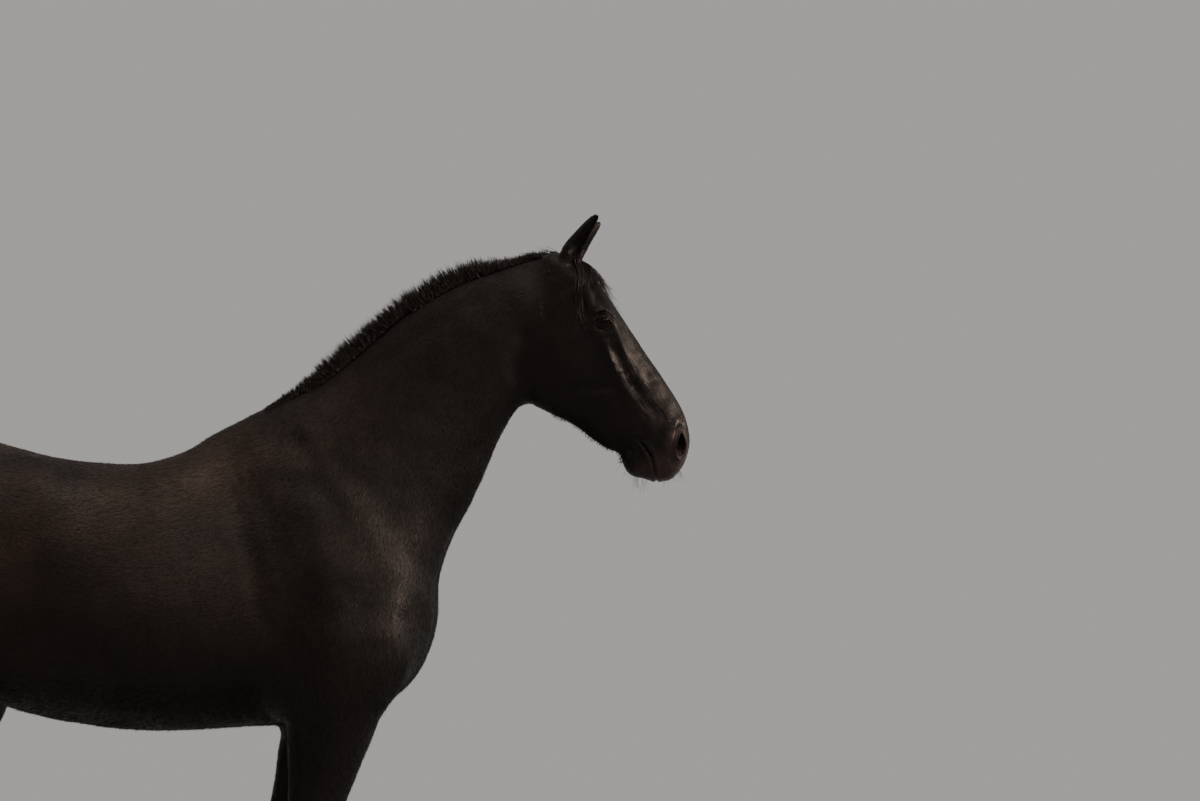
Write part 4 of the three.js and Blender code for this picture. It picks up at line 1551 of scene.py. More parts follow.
        # A face belongs to the part of its first corner. Corners nearer to another part are looked up in it.
        face_owner = np.repeat(owner[corners[firsts]], sizes)
        local = np.where(owner[corners] == face_owner, nearest[corners] - starts[face_owner], -1)
        for k in np.flatnonzero(local < 0):
            local[k] = patches[face_owner[k]].tree.find(points[corners[k]])[1]
        row = starts[face_owner] + local
        along, around, spread = (
            np.concatenate([getattr(patch, what) for patch in patches])[row]
            for what in ("along", "around", "spread")
        )
        # Faces across the seam of a part run past its end instead of back over it.
        girth = spread[:, 1] / np.maximum(around, 1e-6)
        wrap = np.round(np.repeat(around[firsts], sizes) - around)
        around, spread = around + wrap, spread + np.stack([wrap * 0, wrap * girth * (around > 1e-6)], axis=-1)
        boxes = np.array([LAYOUT[part] for part in self.patches])[face_owner]
        place = np.stack([along, np.clip(around, 0, 1)], axis=-1)
        write_map(mesh, "Atlas", boxes[:, :2] + place * boxes[:, 2:])
        write_map(mesh, "Lie", self.untorn(spread, points[corners], firsts, sizes) * MM)
        lies = np.concatenate([patch.lie for patch in patches])[nearest]
        write_vectors(mesh, "lie", unit(settled(mesh, lies, np.ones(len(lies)), 60)))
        write_numbers(mesh, "bare", self.bareness(points))
        move_points(mesh, in_frame(points, self.shift))

    @staticmethod
    def untorn(spread: Array, places: Array, firsts: Array, sizes: Array) -> Array:
        """Draws together the corners of faces that reach across a border between parts.

        Args:
            spread: Where each corner lies on the flat skin, in millimetres.
            places: Where it lies in the drawing.
            firsts: The number of each face's first corner.
            sizes: How many corners each face has.

        Returns:
            Where each corner lies on the flat skin now.
        """
        lead = np.repeat(spread[firsts], sizes, axis=0)
        wide = np.linalg.norm(places - np.repeat(places[firsts], sizes, axis=0), axis=1)
        torn = np.linalg.norm(spread - lead, axis=1) > 3 * wide + 6
        torn = np.repeat(np.logical_or.reduceat(torn, firsts), sizes)
        return np.where(torn[:, None], lead, spread)

    def bareness(self, points: Array) -> Array:
        """Where the skin carries no coat: lips, nostrils, rims of the lids.

        Args:
            points: Points of the skin in the drawing's frame.

        Returns:
            A share for each, 1 where it is bare.
        """
        head = from_head(points)
        on_head = points[:, 0] > HEAD_FROM
        bare = smoothstep(566, 612, head[:, 0])
        for side in Side:
            eye = EYE_SPOT.local(head, side)
            over = np.abs(eye[:, 1]) - self.lids.edge(eye[:, 0])
            near = np.linalg.norm(eye, axis=1) < 30
            bare = np.maximum(bare, near * (1 - smoothstep(1.5, 4.5, over)))
            nose = NOSTRIL_SPOT.local(head, side)
            bare = np.maximum(bare, 1 - smoothstep(34, 52, np.linalg.norm(nose, axis=1)))
        return bare * on_head


# ------------------------------------------------------------------ eyes and hooves


@dataclass(frozen=True)
class Eye:
    """A dark eye: a ball with the clear front a little raised."""

    radius: float = 20.0
    bulge: float = 1.0
    bulge_width: float = 9.0

    @staticmethod
    def ball(side: Side, radius: float) -> Object:
        """A ball in the eye's place, its faces in a fixed order, so that every run gives the same skin.

        Args:
            side: Which eye.
            radius: Its radius.

        Returns:
            The ball.
        """
        shape = bmesh.new()
        bmesh.ops.create_uvsphere(shape, u_segments=64, v_segments=40, radius=radius)
        points = EYE_SPOT.placed(np.array([vert.co for vert in shape.verts]), side)
        for vert, place in zip(shape.verts, points):
            vert.co = place
        bmesh.ops.recalc_face_normals(shape, faces=shape.faces)
        runs = [[vert.index for vert in face.verts] for face in shape.faces]
        shape.free()
        starts = [run.index(min(run)) for run in runs]
        faces = sorted(run[start:] + run[:start] for run, start in zip(runs, starts))
        return mesh_object("eye_ball", points, faces)

    def build(self, side: Side, shift: float) -> Object:
        """Makes one eye.

        Args:
            side: Which eye.
            shift: What places the drawing in the frame.

        Returns:
            The eye, in metres, with its flat view from the front as a UV map.
        """
        made = self.ball(side, self.radius)
        made.name = made.data.name = f"eye_{side.name.lower()}_wet"
        mesh = made.data
        points = points_of(mesh)
        local = EYE_SPOT.local(from_head(points), side)
        away = np.hypot(local[:, 0], local[:, 1])
        rise = self.bulge * np.exp(-((away / self.bulge_width) ** 2)) * (local[:, 2] > 0)
        out = turned_onto_head(EYE_SPOT.axes(side)[1][2])
        gaze = np.where(local[:, 2:] > 0, local[:, :2], 2 * self.radius) / (2 * self.radius) + 0.5
        write_map(mesh, "Gaze", gaze[corners_of(mesh)])
        move_points(mesh, in_frame(points + rise[:, None] * out, shift))
        shade_smooth(mesh)
        return made


@dataclass(frozen=True)
class Hoof:
    """A hoof with the faint rings of its growth."""

    rings: int = 72
    sides: int = 96
    ridges: int = 17
    ridge: float = 0.12

    def build(self, limb: str, stance: Stance, side: Side, shift: float) -> Object:
        """Makes one hoof.

        Args:
            limb: fore or hind.
            stance: How that pair of feet stands.
            side: Which side.
            shift: What places the drawing in the frame.

        Returns:
            The hoof, in metres.
        """
        loft = Loft(HOOF, self.rings, self.sides)
        share = (loft.run / loft.run[-1])[:, None]
        wave = np.sin(2 * np.pi * self.ridges * share**1.15 + 2.2 * np.sin(9 * share))
        wave *= 0.6 + 0.4 * np.sin(23 * share)
        wave *= np.sin(np.pi * np.clip(share / 0.9, 0, 1)) ** 0.5
        loft.points += loft.normals() * (self.ridge * wave)[..., None]
        loft.points[..., 2] = np.maximum(loft.points[..., 2], 0)
        points = loft.vertices() + np.array([CORONET[limb] + stance.stride(side), side.value * stance.y, 0])
        made = mesh_object(f"{limb}_hoof_{side.name.lower()}_horn", in_frame(points, shift), loft.faces())
        shade_smooth(made.data)
        return made


# ------------------------------------------------------------------ locks and strands

PATCH = 0.003  # size of one tuft's own patch on the flat layout


@dataclass
class Strands:
    """Tapered locks or strands of hair, each along a path of its own."""

    paths: Array
    flats: Array
    widths: Array
    thicks: Array
    roots: Array
    sides: int = 4
    fullness: float = 0.7
    slimming: float = 2.5

    def build(self, name: str, shift: float) -> Object:
        """Makes them as one mesh.

        Args:
            name: Name of the piece.
            shift: What places the drawing in the frame.

        Returns:
            The piece, in metres, with its OFBake map.
        """
        count, steps, _ = self.paths.shape
        tangents = unit(np.gradient(self.paths, axis=1))
        normals = unit(np.cross(tangents, self.flats[:, None, :]))
        across = np.cross(normals, tangents)
        t = np.linspace(0, 1, steps)
        body = np.minimum(1, self.fullness + t) * (1 - t**self.slimming)
        turn = 2 * np.pi * np.arange(self.sides) / self.sides
        wide, deep = (
            (body[None, :, None] * size[:, None, None] / 2 * wave)[..., None]
            for size, wave in ((self.widths, np.cos(turn)), (self.thicks, np.sin(turn)))
        )
        rings = self.paths[:, :, None] + wide * across[:, :, None] + deep * normals[:, :, None]
        points = np.concatenate([rings[:, :-1].reshape(count, -1, 3), self.paths[:, -1:]], axis=1)
        made = mesh_object(name, in_frame(points.reshape(-1, 3), shift), self.faces(count, steps))
        ring = np.arange(self.sides) / self.sides
        local = np.stack(np.meshgrid(t[:-1], ring, indexing="ij"), -1).reshape(-1, 2)
        flat = np.concatenate([local, [[1, 0.5]]])[None] * PATCH + self.roots[:, None]
        write_map(made.data, "OFBake", flat.reshape(-1, 2)[corners_of(made.data)])
        tint = np.random.default_rng(len(self.paths)).random(count)
        write_numbers(made.data, "tint", np.repeat(tint, points.shape[1]))
        shade_smooth(made.data)
        return made

    def faces(self, count: int, steps: int) -> list[list[int]]:
        """The faces of all strands.

        Args:
            count: How many strands there are.
            steps: Points along each.

        Returns:
            The walls of all, then their tips, then their roots.
        """
        tip = (steps - 1) * self.sides
        index, walls = ring_walls(steps - 1, self.sides)
        starts = (np.arange(count) * (tip + 1))[:, None, None]
        ends = np.stack([index[-1], np.roll(index[-1], -1), np.full(self.sides, tip)], axis=-1)
        groups = [block[None] + starts for block in (walls, ends, index[0, ::-1][None])]
        return sum((group.reshape(-1, group.shape[-1]).tolist() for group in groups), [])



def flat_places(skin: Skin, points: Array) -> Array:
    """Where points of the drawing lie on the skin's flat layout.

    Args:
        skin: The skin.
        points: The points, on or near it.

    Returns:
        One place for each.
    """
    found = []
    for point in points:
        hits = ((part, patch.tree.find(point)) for part, patch in skin.patches.items())
        part, row = min(hits, key=lambda hit: hit[1][2])
        left, low, wide, high = LAYOUT[part]
        patch = skin.patches[part]
        found.append((left + patch.along[row[1]] * wide, low + patch.around[row[1]] * high))
    return np.array(found)


def resampled(path: Array, count: int) -> Array:
    """Smooth paths with more points.

    Args:
        path: Paths of a few points each.
        count: Points wanted along each.

    Returns:
        The finer paths.
    """
    turned = path.transpose(1, 0, 2).reshape(path.shape[1], -1)
    fine = catmull_rom(turned, np.linspace(0, path.shape[1] - 1, count))
    return fine.reshape(count, len(path), 3).transpose(1, 0, 2)


@dataclass(frozen=True)
class Tail:
    """A full tail: hair laid round the dock that gathers in locks below it, with loose strands over them."""

    x: float = -1144.0
    deep: float = 42.0
    half: float = 64.0
    end: float = 330.0
    swing: float = 18.0
    bundles: int = 30
    locks: int = 900
    strands: int = 2600
    seed: int = 11

    def line(self) -> Array:
        """The tail's middle line: x, z, the arm from it to the outer side, the half width and the run so far.

        Returns:
            One row for each of its points.
        """
        rows = catmull_rom(np.array(DOCK, float), np.linspace(0.6, len(DOCK) - 1.0, 60))
        middle = np.vstack([(rows[:, 0:2] + rows[:, 2:4]) / 2, [self.x, 0.0]])
        arm = np.vstack([(rows[:, 2:4] - rows[:, 0:2]) / 2, [0.0, 0.0]])
        half = np.append(rows[:, 4], 0.0)
        run = np.append(0, np.cumsum(np.linalg.norm(np.diff(middle, axis=0), axis=1)))
        return np.column_stack([middle, arm, half, run])

    def paths(self, count: int, draw: np.random.Generator, loose: float, steps: int) -> tuple[Array, Array]:
        """Paths of hair that lie along the dock from their roots and hang free below it.

        Args:
            count: How many.
            draw: Source of chance.
            loose: How far they stray.
            steps: Points along each.

        Returns:
            The paths, and the way that each one's width lies.
        """
        shared = np.random.default_rng(self.seed + 1)
        jitter, wide = (shared.uniform(*span, self.bundles) for span in ((-0.4, 0.4), (0.5, 1)))
        sways, swings = (shared.normal(0, span, self.bundles) for span in (self.swing, 0.6 * self.swing))
        ends, phases = (shared.uniform(0, top, self.bundles) for top in (150, 1))
        turn = 2 * np.pi * draw.random(count)
        bundle = np.minimum((turn / (2 * np.pi) * self.bundles).astype(int), self.bundles - 1)
        gathered = 2 * np.pi * (bundle + 0.5 + jitter[bundle]) / self.bundles
        t = np.linspace(0, 1, steps)[None] ** 1.5
        share = 0.75 * smoothstep(0.05, 0.7, t)
        about = turn[:, None] + (gathered - turn)[:, None] * share
        layer = (0.45 + 0.55 * np.sqrt(draw.random(count)))[:, None]
        layer = layer + (wide[bundle][:, None] - layer) * share
        end = self.end + ends[bundle] + 170 * draw.random(count) ** 2
        line = self.line()
        roots = 24 + 456 * draw.random(count) ** 0.9
        run = roots[:, None] + (line[-1, 5] - end - roots)[:, None] * t
        middle_x, middle_z, arm_x, arm_z, half = (np.interp(run, line[:, 5], line[:, k]) for k in range(5))
        free = smoothstep(0.1, 0.4, t)
        close = (0.76 + 0.36 * layer * smoothstep(0, 0.12, t)) * (1 - free)
        reach = layer * np.sin(np.pi * (0.14 + t * 0.78)) ** 0.55 * free
        phase = phases[bundle] + draw.normal(0, 0.06, count)
        wave = np.sin(2 * np.pi * (t * draw.uniform(1.8, 2.4, count)[:, None] + phase[:, None]))
        fray = draw.normal(0, loose, (count, 1)) * t**3
        x = middle_x + np.cos(about) * (arm_x * close - self.deep * reach)
        x = x + swings[bundle][:, None] * t**2 + 3.0 * wave * t + fray
        y = np.sin(about) * (half * close + self.half * reach) + sways[bundle][:, None] * t**2
        y = y + 5.0 * wave * t + draw.normal(0, loose, (count, 1)) * t**2
        z = middle_z + np.cos(about) * arm_z * close
        flats = np.stack([np.sin(turn), np.cos(turn), np.zeros(count)], axis=-1)
        return np.stack([x, y, z], axis=-1), flats

    def build(self, skin: Skin) -> list[Object]:
        """Makes the tail.

        Args:
            skin: The skin that it grows from.

        Returns:
            Its locks and its loose strands.
        """
        draw = np.random.default_rng(self.seed)
        made = []
        for name, count, loose, steps, width, thick, sides in (
            ("tail_locks", self.locks, 3.0, 12, 8.0, 3.5, 4),
            ("tail_strands", self.strands, 8.0, 10, 2.0, 1.5, 3),
        ):
            paths, flats = self.paths(count, draw, loose, steps)
            widths = width * draw.uniform(0.7, 1.3, count)
            hair = Strands(paths, flats, widths, np.full(count, thick), flat_places(skin, paths[:, 0]), sides)
            made.append(hair.build(name, skin.shift))
        return made


@dataclass
class Ground:
    """The finished skin as something for strands to lie on."""

    skin: Skin
    tree: BVHTree = field(init=False)

    def __post_init__(self) -> None:
        """Builds the search tree in the drawing's frame."""
        mesh = self.skin.body.data
        points = in_drawing(points_of(mesh), self.skin.shift)
        self.tree = BVHTree.FromPolygons(points.tolist(), [tuple(face.vertices) for face in mesh.polygons])

    def hit(self, start: Array, aim: Array) -> tuple[Array, Array]:
        """Where a line meets the skin.

        Args:
            start: Where it starts.
            aim: A point that it heads for.

        Returns:
            The point and the way that the skin faces there; the aim itself where it meets nothing.
        """
        way = unit(aim - start)
        place, normal, *_ = self.tree.ray_cast(Vector(start), Vector(way))
        if place is None:
            return aim, -way
        return np.array(place), np.array(normal)

    def round_head(self, u: float, turn: float, lift: float) -> Array:
        """A point above the skin of the head, found inwards from all round it.

        Args:
            u: How far down the face.
            turn: Which way round the head, in degrees from the forehead to the right.
            lift: How far it stands off.

        Returns:
            The point.
        """
        c, s = math.cos(math.radians(turn)), math.sin(math.radians(turn))
        start, aim = onto_head(np.array([[u, -260 * s, 260 * c - 60], [u, 0, -60]]))
        place, normal = self.hit(start, aim)
        return place + lift * normal


@dataclass(frozen=True)
class Forelock:
    """The forelock: wisps that fan from between the ears over the forehead and past the temples."""

    wisps: int = 34
    hairs: int = 12
    poll: int = 260
    seed: int = 23

    def wisp(self, ground: Ground, draw: np.random.Generator, fan: float) -> Array:
        """One wisp, whose hairs part at its middle and meet again near its tip.

        Args:
            ground: The skin.
            draw: Source of chance.
            fan: Where it hangs, from -1 at one temple to 1 at the other.

        Returns:
            The paths of its hairs.
        """
        root_u, root_turn = draw.uniform(30, 56), 26 * fan + draw.normal(0, 7)
        end_turn = 70 * np.sign(fan) * abs(fan) ** 0.8 + draw.normal(0, 5)
        end_u = 184 + 26 * fan**2 + draw.normal(0, 15)
        free = draw.uniform(4, 34) * (1 - 0.8 * fan**2)
        middle = []
        for t in np.linspace(0, 1, 7):
            turn = root_turn + (end_turn - root_turn) * smoothstep(0, 0.8, t)
            lift = 1 + 9 * math.sin(math.pi * min(1, 1.25 * t)) * (1 - 0.5 * abs(fan)) + free * t**3
            middle.append(ground.round_head(root_u + (end_u - root_u) * t, turn, lift))
        t = np.linspace(0, 1, 7)[None, :, None]
        part = draw.normal(0, 1, (self.hairs, 1, 3)) * (2.6 + 3.4 * np.sin(np.pi * t)) * (1 - 0.35 * t)
        fray = draw.normal(0, 1, (self.hairs, 1, 3)) * 5.0 * t**4
        paths = np.array(middle)[None] + part + fray
        short = draw.uniform(0.72, 1.0, self.hairs)
        return np.stack([smooth_cut(path, share) for path, share in zip(paths, short)])

    def behind_poll(self, draw: np.random.Generator) -> Array:
        """Strands that stand on the poll and lie back along the crest.

        Args:
            draw: Source of chance.

        Returns:
            Their paths in the drawing's frame.
        """
        count = self.poll
        start = draw.uniform(0, 1, count)
        x = 836 - 124 * start
        z = 2030 - 24 * start
        y = draw.uniform(-1, 1, count) * (22 - 6 * start)
        length = draw.uniform(36, 78, count) * (1 - 0.25 * start)
        t = np.linspace(0, 1, 7)[None]
        arch = draw.uniform(0.35, 1.15, count)[:, None]
        back = length[:, None] * t * (0.55 + 0.45 * t)
        up = length[:, None] * arch * (t - 0.62 * t**2)
        side = y[:, None] * (1 + 0.35 * t) + draw.normal(0, 4, (count, 1)) * t**2
        return np.stack([x[:, None] - back, side, z[:, None] + up], axis=-1)

    def build(self, ground: Ground) -> list[Object]:
        """Makes the forelock and the hair behind the poll.

        Args:
            ground: The skin that they grow from.

        Returns:
            The pieces.
        """
        draw = np.random.default_rng(self.seed)
        fans = np.linspace(-1, 1, self.wisps) + draw.normal(0, 0.03, self.wisps)
        groups = {
            "forelock": (np.concatenate([self.wisp(ground, draw, fan) for fan in fans]), 1.6),
            "poll_hair": (self.behind_poll(draw), 1.5),
        }
        made = []
        for name, (bundle, width) in groups.items():
            paths = resampled(bundle, 12)
            count = len(paths)
            flats = np.tile([0.0, 1.0, 0.0], (count, 1)) + draw.normal(0, 0.4, (count, 3))
            widths = width * draw.uniform(0.6, 1.4, count)
            roots = flat_places(ground.skin, paths[:, 0])
            hair = Strands(paths, unit(flats), widths, widths * 0.6, roots, sides=3)
            made.append(hair.build(name, ground.skin.shift))
        return made


def smooth_cut(path: Array, share: float) -> Array:
    """The first share of a path, with as many points as before."""
    return catmull_rom(path, np.linspace(0, (len(path) - 1) * share, len(path)))


@dataclass(frozen=True)
class FineHair:
    """Single hairs where the coat stops: lashes, whiskers of muzzle and chin, and hair in the ears."""

    lashes: int = 46
    muzzle: int = 84
    chin: int = 44
    brow: int = 6
    ear_hairs: int = 640
    seed: int = 41

    def lash_paths(self, draw: np.random.Generator, side: Side, lids: Lids) -> Array:
        """Lashes of the upper lid, which stand out and bend down.

        Args:
            draw: Source of chance.
            side: Which eye.
            lids: The lids.

        Returns:
            Their paths in the drawing's frame.
        """
        count = self.lashes
        run = draw.uniform(-0.36, 0.44, count) * lids.long
        edge = lids.edge(run) + 0.6
        cover = lids.ball + lids.thick
        out = np.sqrt(np.clip(cover**2 - run**2 - edge**2, 1, None)) - 1.0
        length = draw.uniform(7, 12, count)
        t = np.linspace(0, 1, 6)[None]
        slant = length * (0.25 * run / lids.long + draw.normal(0, 0.09, count))
        along = run[:, None] + slant[:, None] * t
        up = edge[:, None] + length[:, None] * (0.28 * t - 0.62 * t**2)
        far = out[:, None] + length[:, None] * (0.95 * t - 0.25 * t**2)
        return EYE_SPOT.placed(np.stack([along, up, far], axis=-1), side)

    def whiskers(self, ground: Ground, draw: np.random.Generator, side: Side) -> Array:
        """Long single hairs of the lips, the chin and the brow.

        Args:
            ground: The skin.
            draw: Source of chance.
            side: Which side of the head.

        Returns:
            Their paths in the drawing's frame.
        """
        beds = (
            (self.muzzle, (540, 648), (-22, 30), (10, 30)),
            (self.chin, (535, 640), (-86, -48), (16, 44)),
            (self.brow, (200, 222), (36, 50), (8, 16)),
            (self.brow, (240, 258), (-22, -8), (8, 16)),
        )
        paths = []
        t = np.linspace(0, 1, 6)[:, None]
        for count, (top, low), (inner, outer), (short, long) in beds:
            for _ in range(count):
                u, v = draw.uniform(top, low), draw.uniform(inner, outer)
                start, aim = onto_head(np.array([[u, side.value * 160, v], [u, 0, v]]))
                place, normal = ground.hit(start, aim)
                length = draw.uniform(short, long)
                way = unit(normal + draw.normal(0, 0.22, 3) + turned_onto_head(np.array([0.35, 0, 0])))
                sag = np.array([0, 0, -0.3 * length])
                paths.append(place - 0.4 * normal + way * length * t + sag * t**2)
        return np.array(paths)

    def ear_paths(self, ear: Ear, draw: np.random.Generator, side: Side) -> Array:
        """Hair that reaches across the cup of an ear from both its rims.

        Args:
            ear: The ear.
            draw: Source of chance.
            side: Which ear.

        Returns:
            Their paths in the drawing's frame.
        """
        count = self.ear_hairs
        table = np.array(ear.form, float)
        share = draw.uniform(0.06, 0.9, count) ** 0.9
        t, deep, wide = catmull_rom(table, 6 * share).T
        rim = np.where(draw.random(count) < 0.5, -1.0, 1.0)
        turn = np.radians(270 + rim * draw.uniform(52, 74, count))
        front = 17 * t**2 - 6 * t - (deep - 1.2) * np.sin(turn)
        out = (wide - 1.2) * np.cos(turn) - 8 * t**2 * side.value
        length = draw.uniform(6, 15, count) * (1.05 - 0.5 * t)
        step = np.linspace(0, 1, 6)[None]
        across = -np.sign(np.cos(turn))[:, None] * (0.15 + 0.4 * step) + draw.normal(0, 0.16, (count, 1))
        ahead = 0.75 - 0.45 * step
        rise = 0.7 + 0.3 * step + draw.normal(0, 0.12, (count, 1))
        run = length[:, None] * step
        ways = zip((front, out, t * ear.length), (ahead, across, rise))
        path = np.stack([start[:, None] + run * way for start, way in ways], axis=-1)
        return ear.placed(path, side)

    def build(self, ground: Ground) -> list[Object]:
        """Makes the lashes, the whiskers and the hair in the ears.

        Args:
            ground: The skin that they grow from.

        Returns:
            The pieces.
        """
        draw = np.random.default_rng(self.seed)
        skin = ground.skin
        groups = {
            "lashes": (np.concatenate([self.lash_paths(draw, side, skin.lids) for side in Side]), 0.7),
            "whiskers": (np.concatenate([self.whiskers(ground, draw, side) for side in Side]), 0.6),
            "ear_hair": (np.concatenate([self.ear_paths(skin.ear, draw, side) for side in Side]), 0.8),
        }
        made = []
        for name, (paths, width) in groups.items():
            count = len(paths)
            flats = unit(np.tile([0.3, 1.0, 0.2], (count, 1)) + draw.normal(0, 0.3, (count, 3)))
            widths = width * draw.uniform(0.75, 1.25, count)
            hair = Strands(paths, flats, widths, widths, flat_places(skin, paths[:, 0]), sides=3)
            made.append(hair.build(name, skin.shift))
        return made


# ------------------------------------------------------------------ hair set on the skin


def feed(tree: NodeTree, node: Node, inputs: dict[str | int, object]) -> None:
    """Gives a node its values and links.

    Args:
        tree: The tree that it is in.
        node: The node.
        inputs: A value for a socket, or the socket that feeds it.
    """
    for key, value in inputs.items():
        if isinstance(value, NodeSocket):
            tree.links.new(value, node.inputs[key])
        else:
            node.inputs[key].default_value = value


def add_node(
    tree: NodeTree, kind: str, inputs: dict[str | int, object] | None = None, **settings: object
) -> Node:
    """Adds a node with its settings, values and links.

    Args:
        tree: The tree that it joins.
        kind: Its type.
        inputs: A value for a socket, or the socket that feeds it.
        settings: The node's own settings.

    Returns:
        The node.
    """
    node = tree.nodes.new(kind)
    for key, value in settings.items():
        setattr(node, key, value)
    feed(tree, node, inputs or {})
    return node


def sum_of(tree: NodeTree, operation: str, *values: object) -> NodeSocket:
    """A sum on numbers.

    Args:
        tree: The tree that it joins.
        operation: What is done, such as MULTIPLY.
        values: What goes in.

    Returns:
        What comes out.
    """
    return add_node(tree, "ShaderNodeMath", dict(enumerate(values)), operation=operation).outputs[0]


def vector_sum(tree: NodeTree, operation: str, first: object, second: object = None) -> NodeSocket:
    """A sum on vectors.

    Args:
        tree: The tree that it joins.
        operation: What is done, such as ADD.
        first: What goes in.
        second: The other vector, or the number that it is scaled by.

    Returns:
        What comes out: a number for LENGTH, or else a vector.
    """
    given = {0: first}
    if second is not None:
        given["Scale" if operation == "SCALE" else 1] = second
    node = add_node(tree, "ShaderNodeVectorMath", given, operation=operation)
    return node.outputs["Value" if operation == "LENGTH" else 0]


def ramp(tree: NodeTree, value: NodeSocket, *ends: float) -> NodeSocket:
    """Brings a value from one range to another, without leaving it.

    Args:
        tree: The tree that it joins.
        value: The value.
        ends: Both ends of its range, then both ends of the new one.

    Returns:
        The new value.
    """
    return add_node(tree, "ShaderNodeMapRange", dict(enumerate((value, *ends)))).outputs[0]


def blade(rings: int, bend: float) -> Object:
    """One hair blade of unit length and width: three sided, drawn in to its tip.

    Args:
        rings: How many rings it has below its tip.
        bend: How far its tip bows over, as a share of its length.

    Returns:
        The blade, hidden from the scene.
    """
    t = np.arange(rings) / rings
    turn = 2 * np.pi * np.arange(3) / 3 + np.pi / 2
    body = (1 - t**2.2)[:, None] * 0.5
    bow = bend * t[:, None] ** 2
    ring = [body * np.cos(turn), body * np.sin(turn) - 0.3 + bow, np.repeat(t[:, None], 3, axis=1)]
    points = np.concatenate([np.stack(ring, axis=-1).reshape(-1, 3), [[0, bend, 1]]])
    index, walls = ring_walls(rings, 3)
    ends = [[int(a), int(b), 3 * rings] for a, b in zip(index[-1], np.roll(index[-1], -1))]
    made = mesh_object("blade", points, walls.tolist() + ends + [index[0, ::-1].tolist()])
    local = np.stack(np.meshgrid(t, [0, 0.5, 1], indexing="ij"), -1).reshape(-1, 2)
    patch = np.concatenate([local, [[1, 0.5]]])
    write_vectors(made.data, "patch", np.pad(patch, ((0, 0), (0, 1))))
    made.hide_render = made.hide_viewport = True
    return made


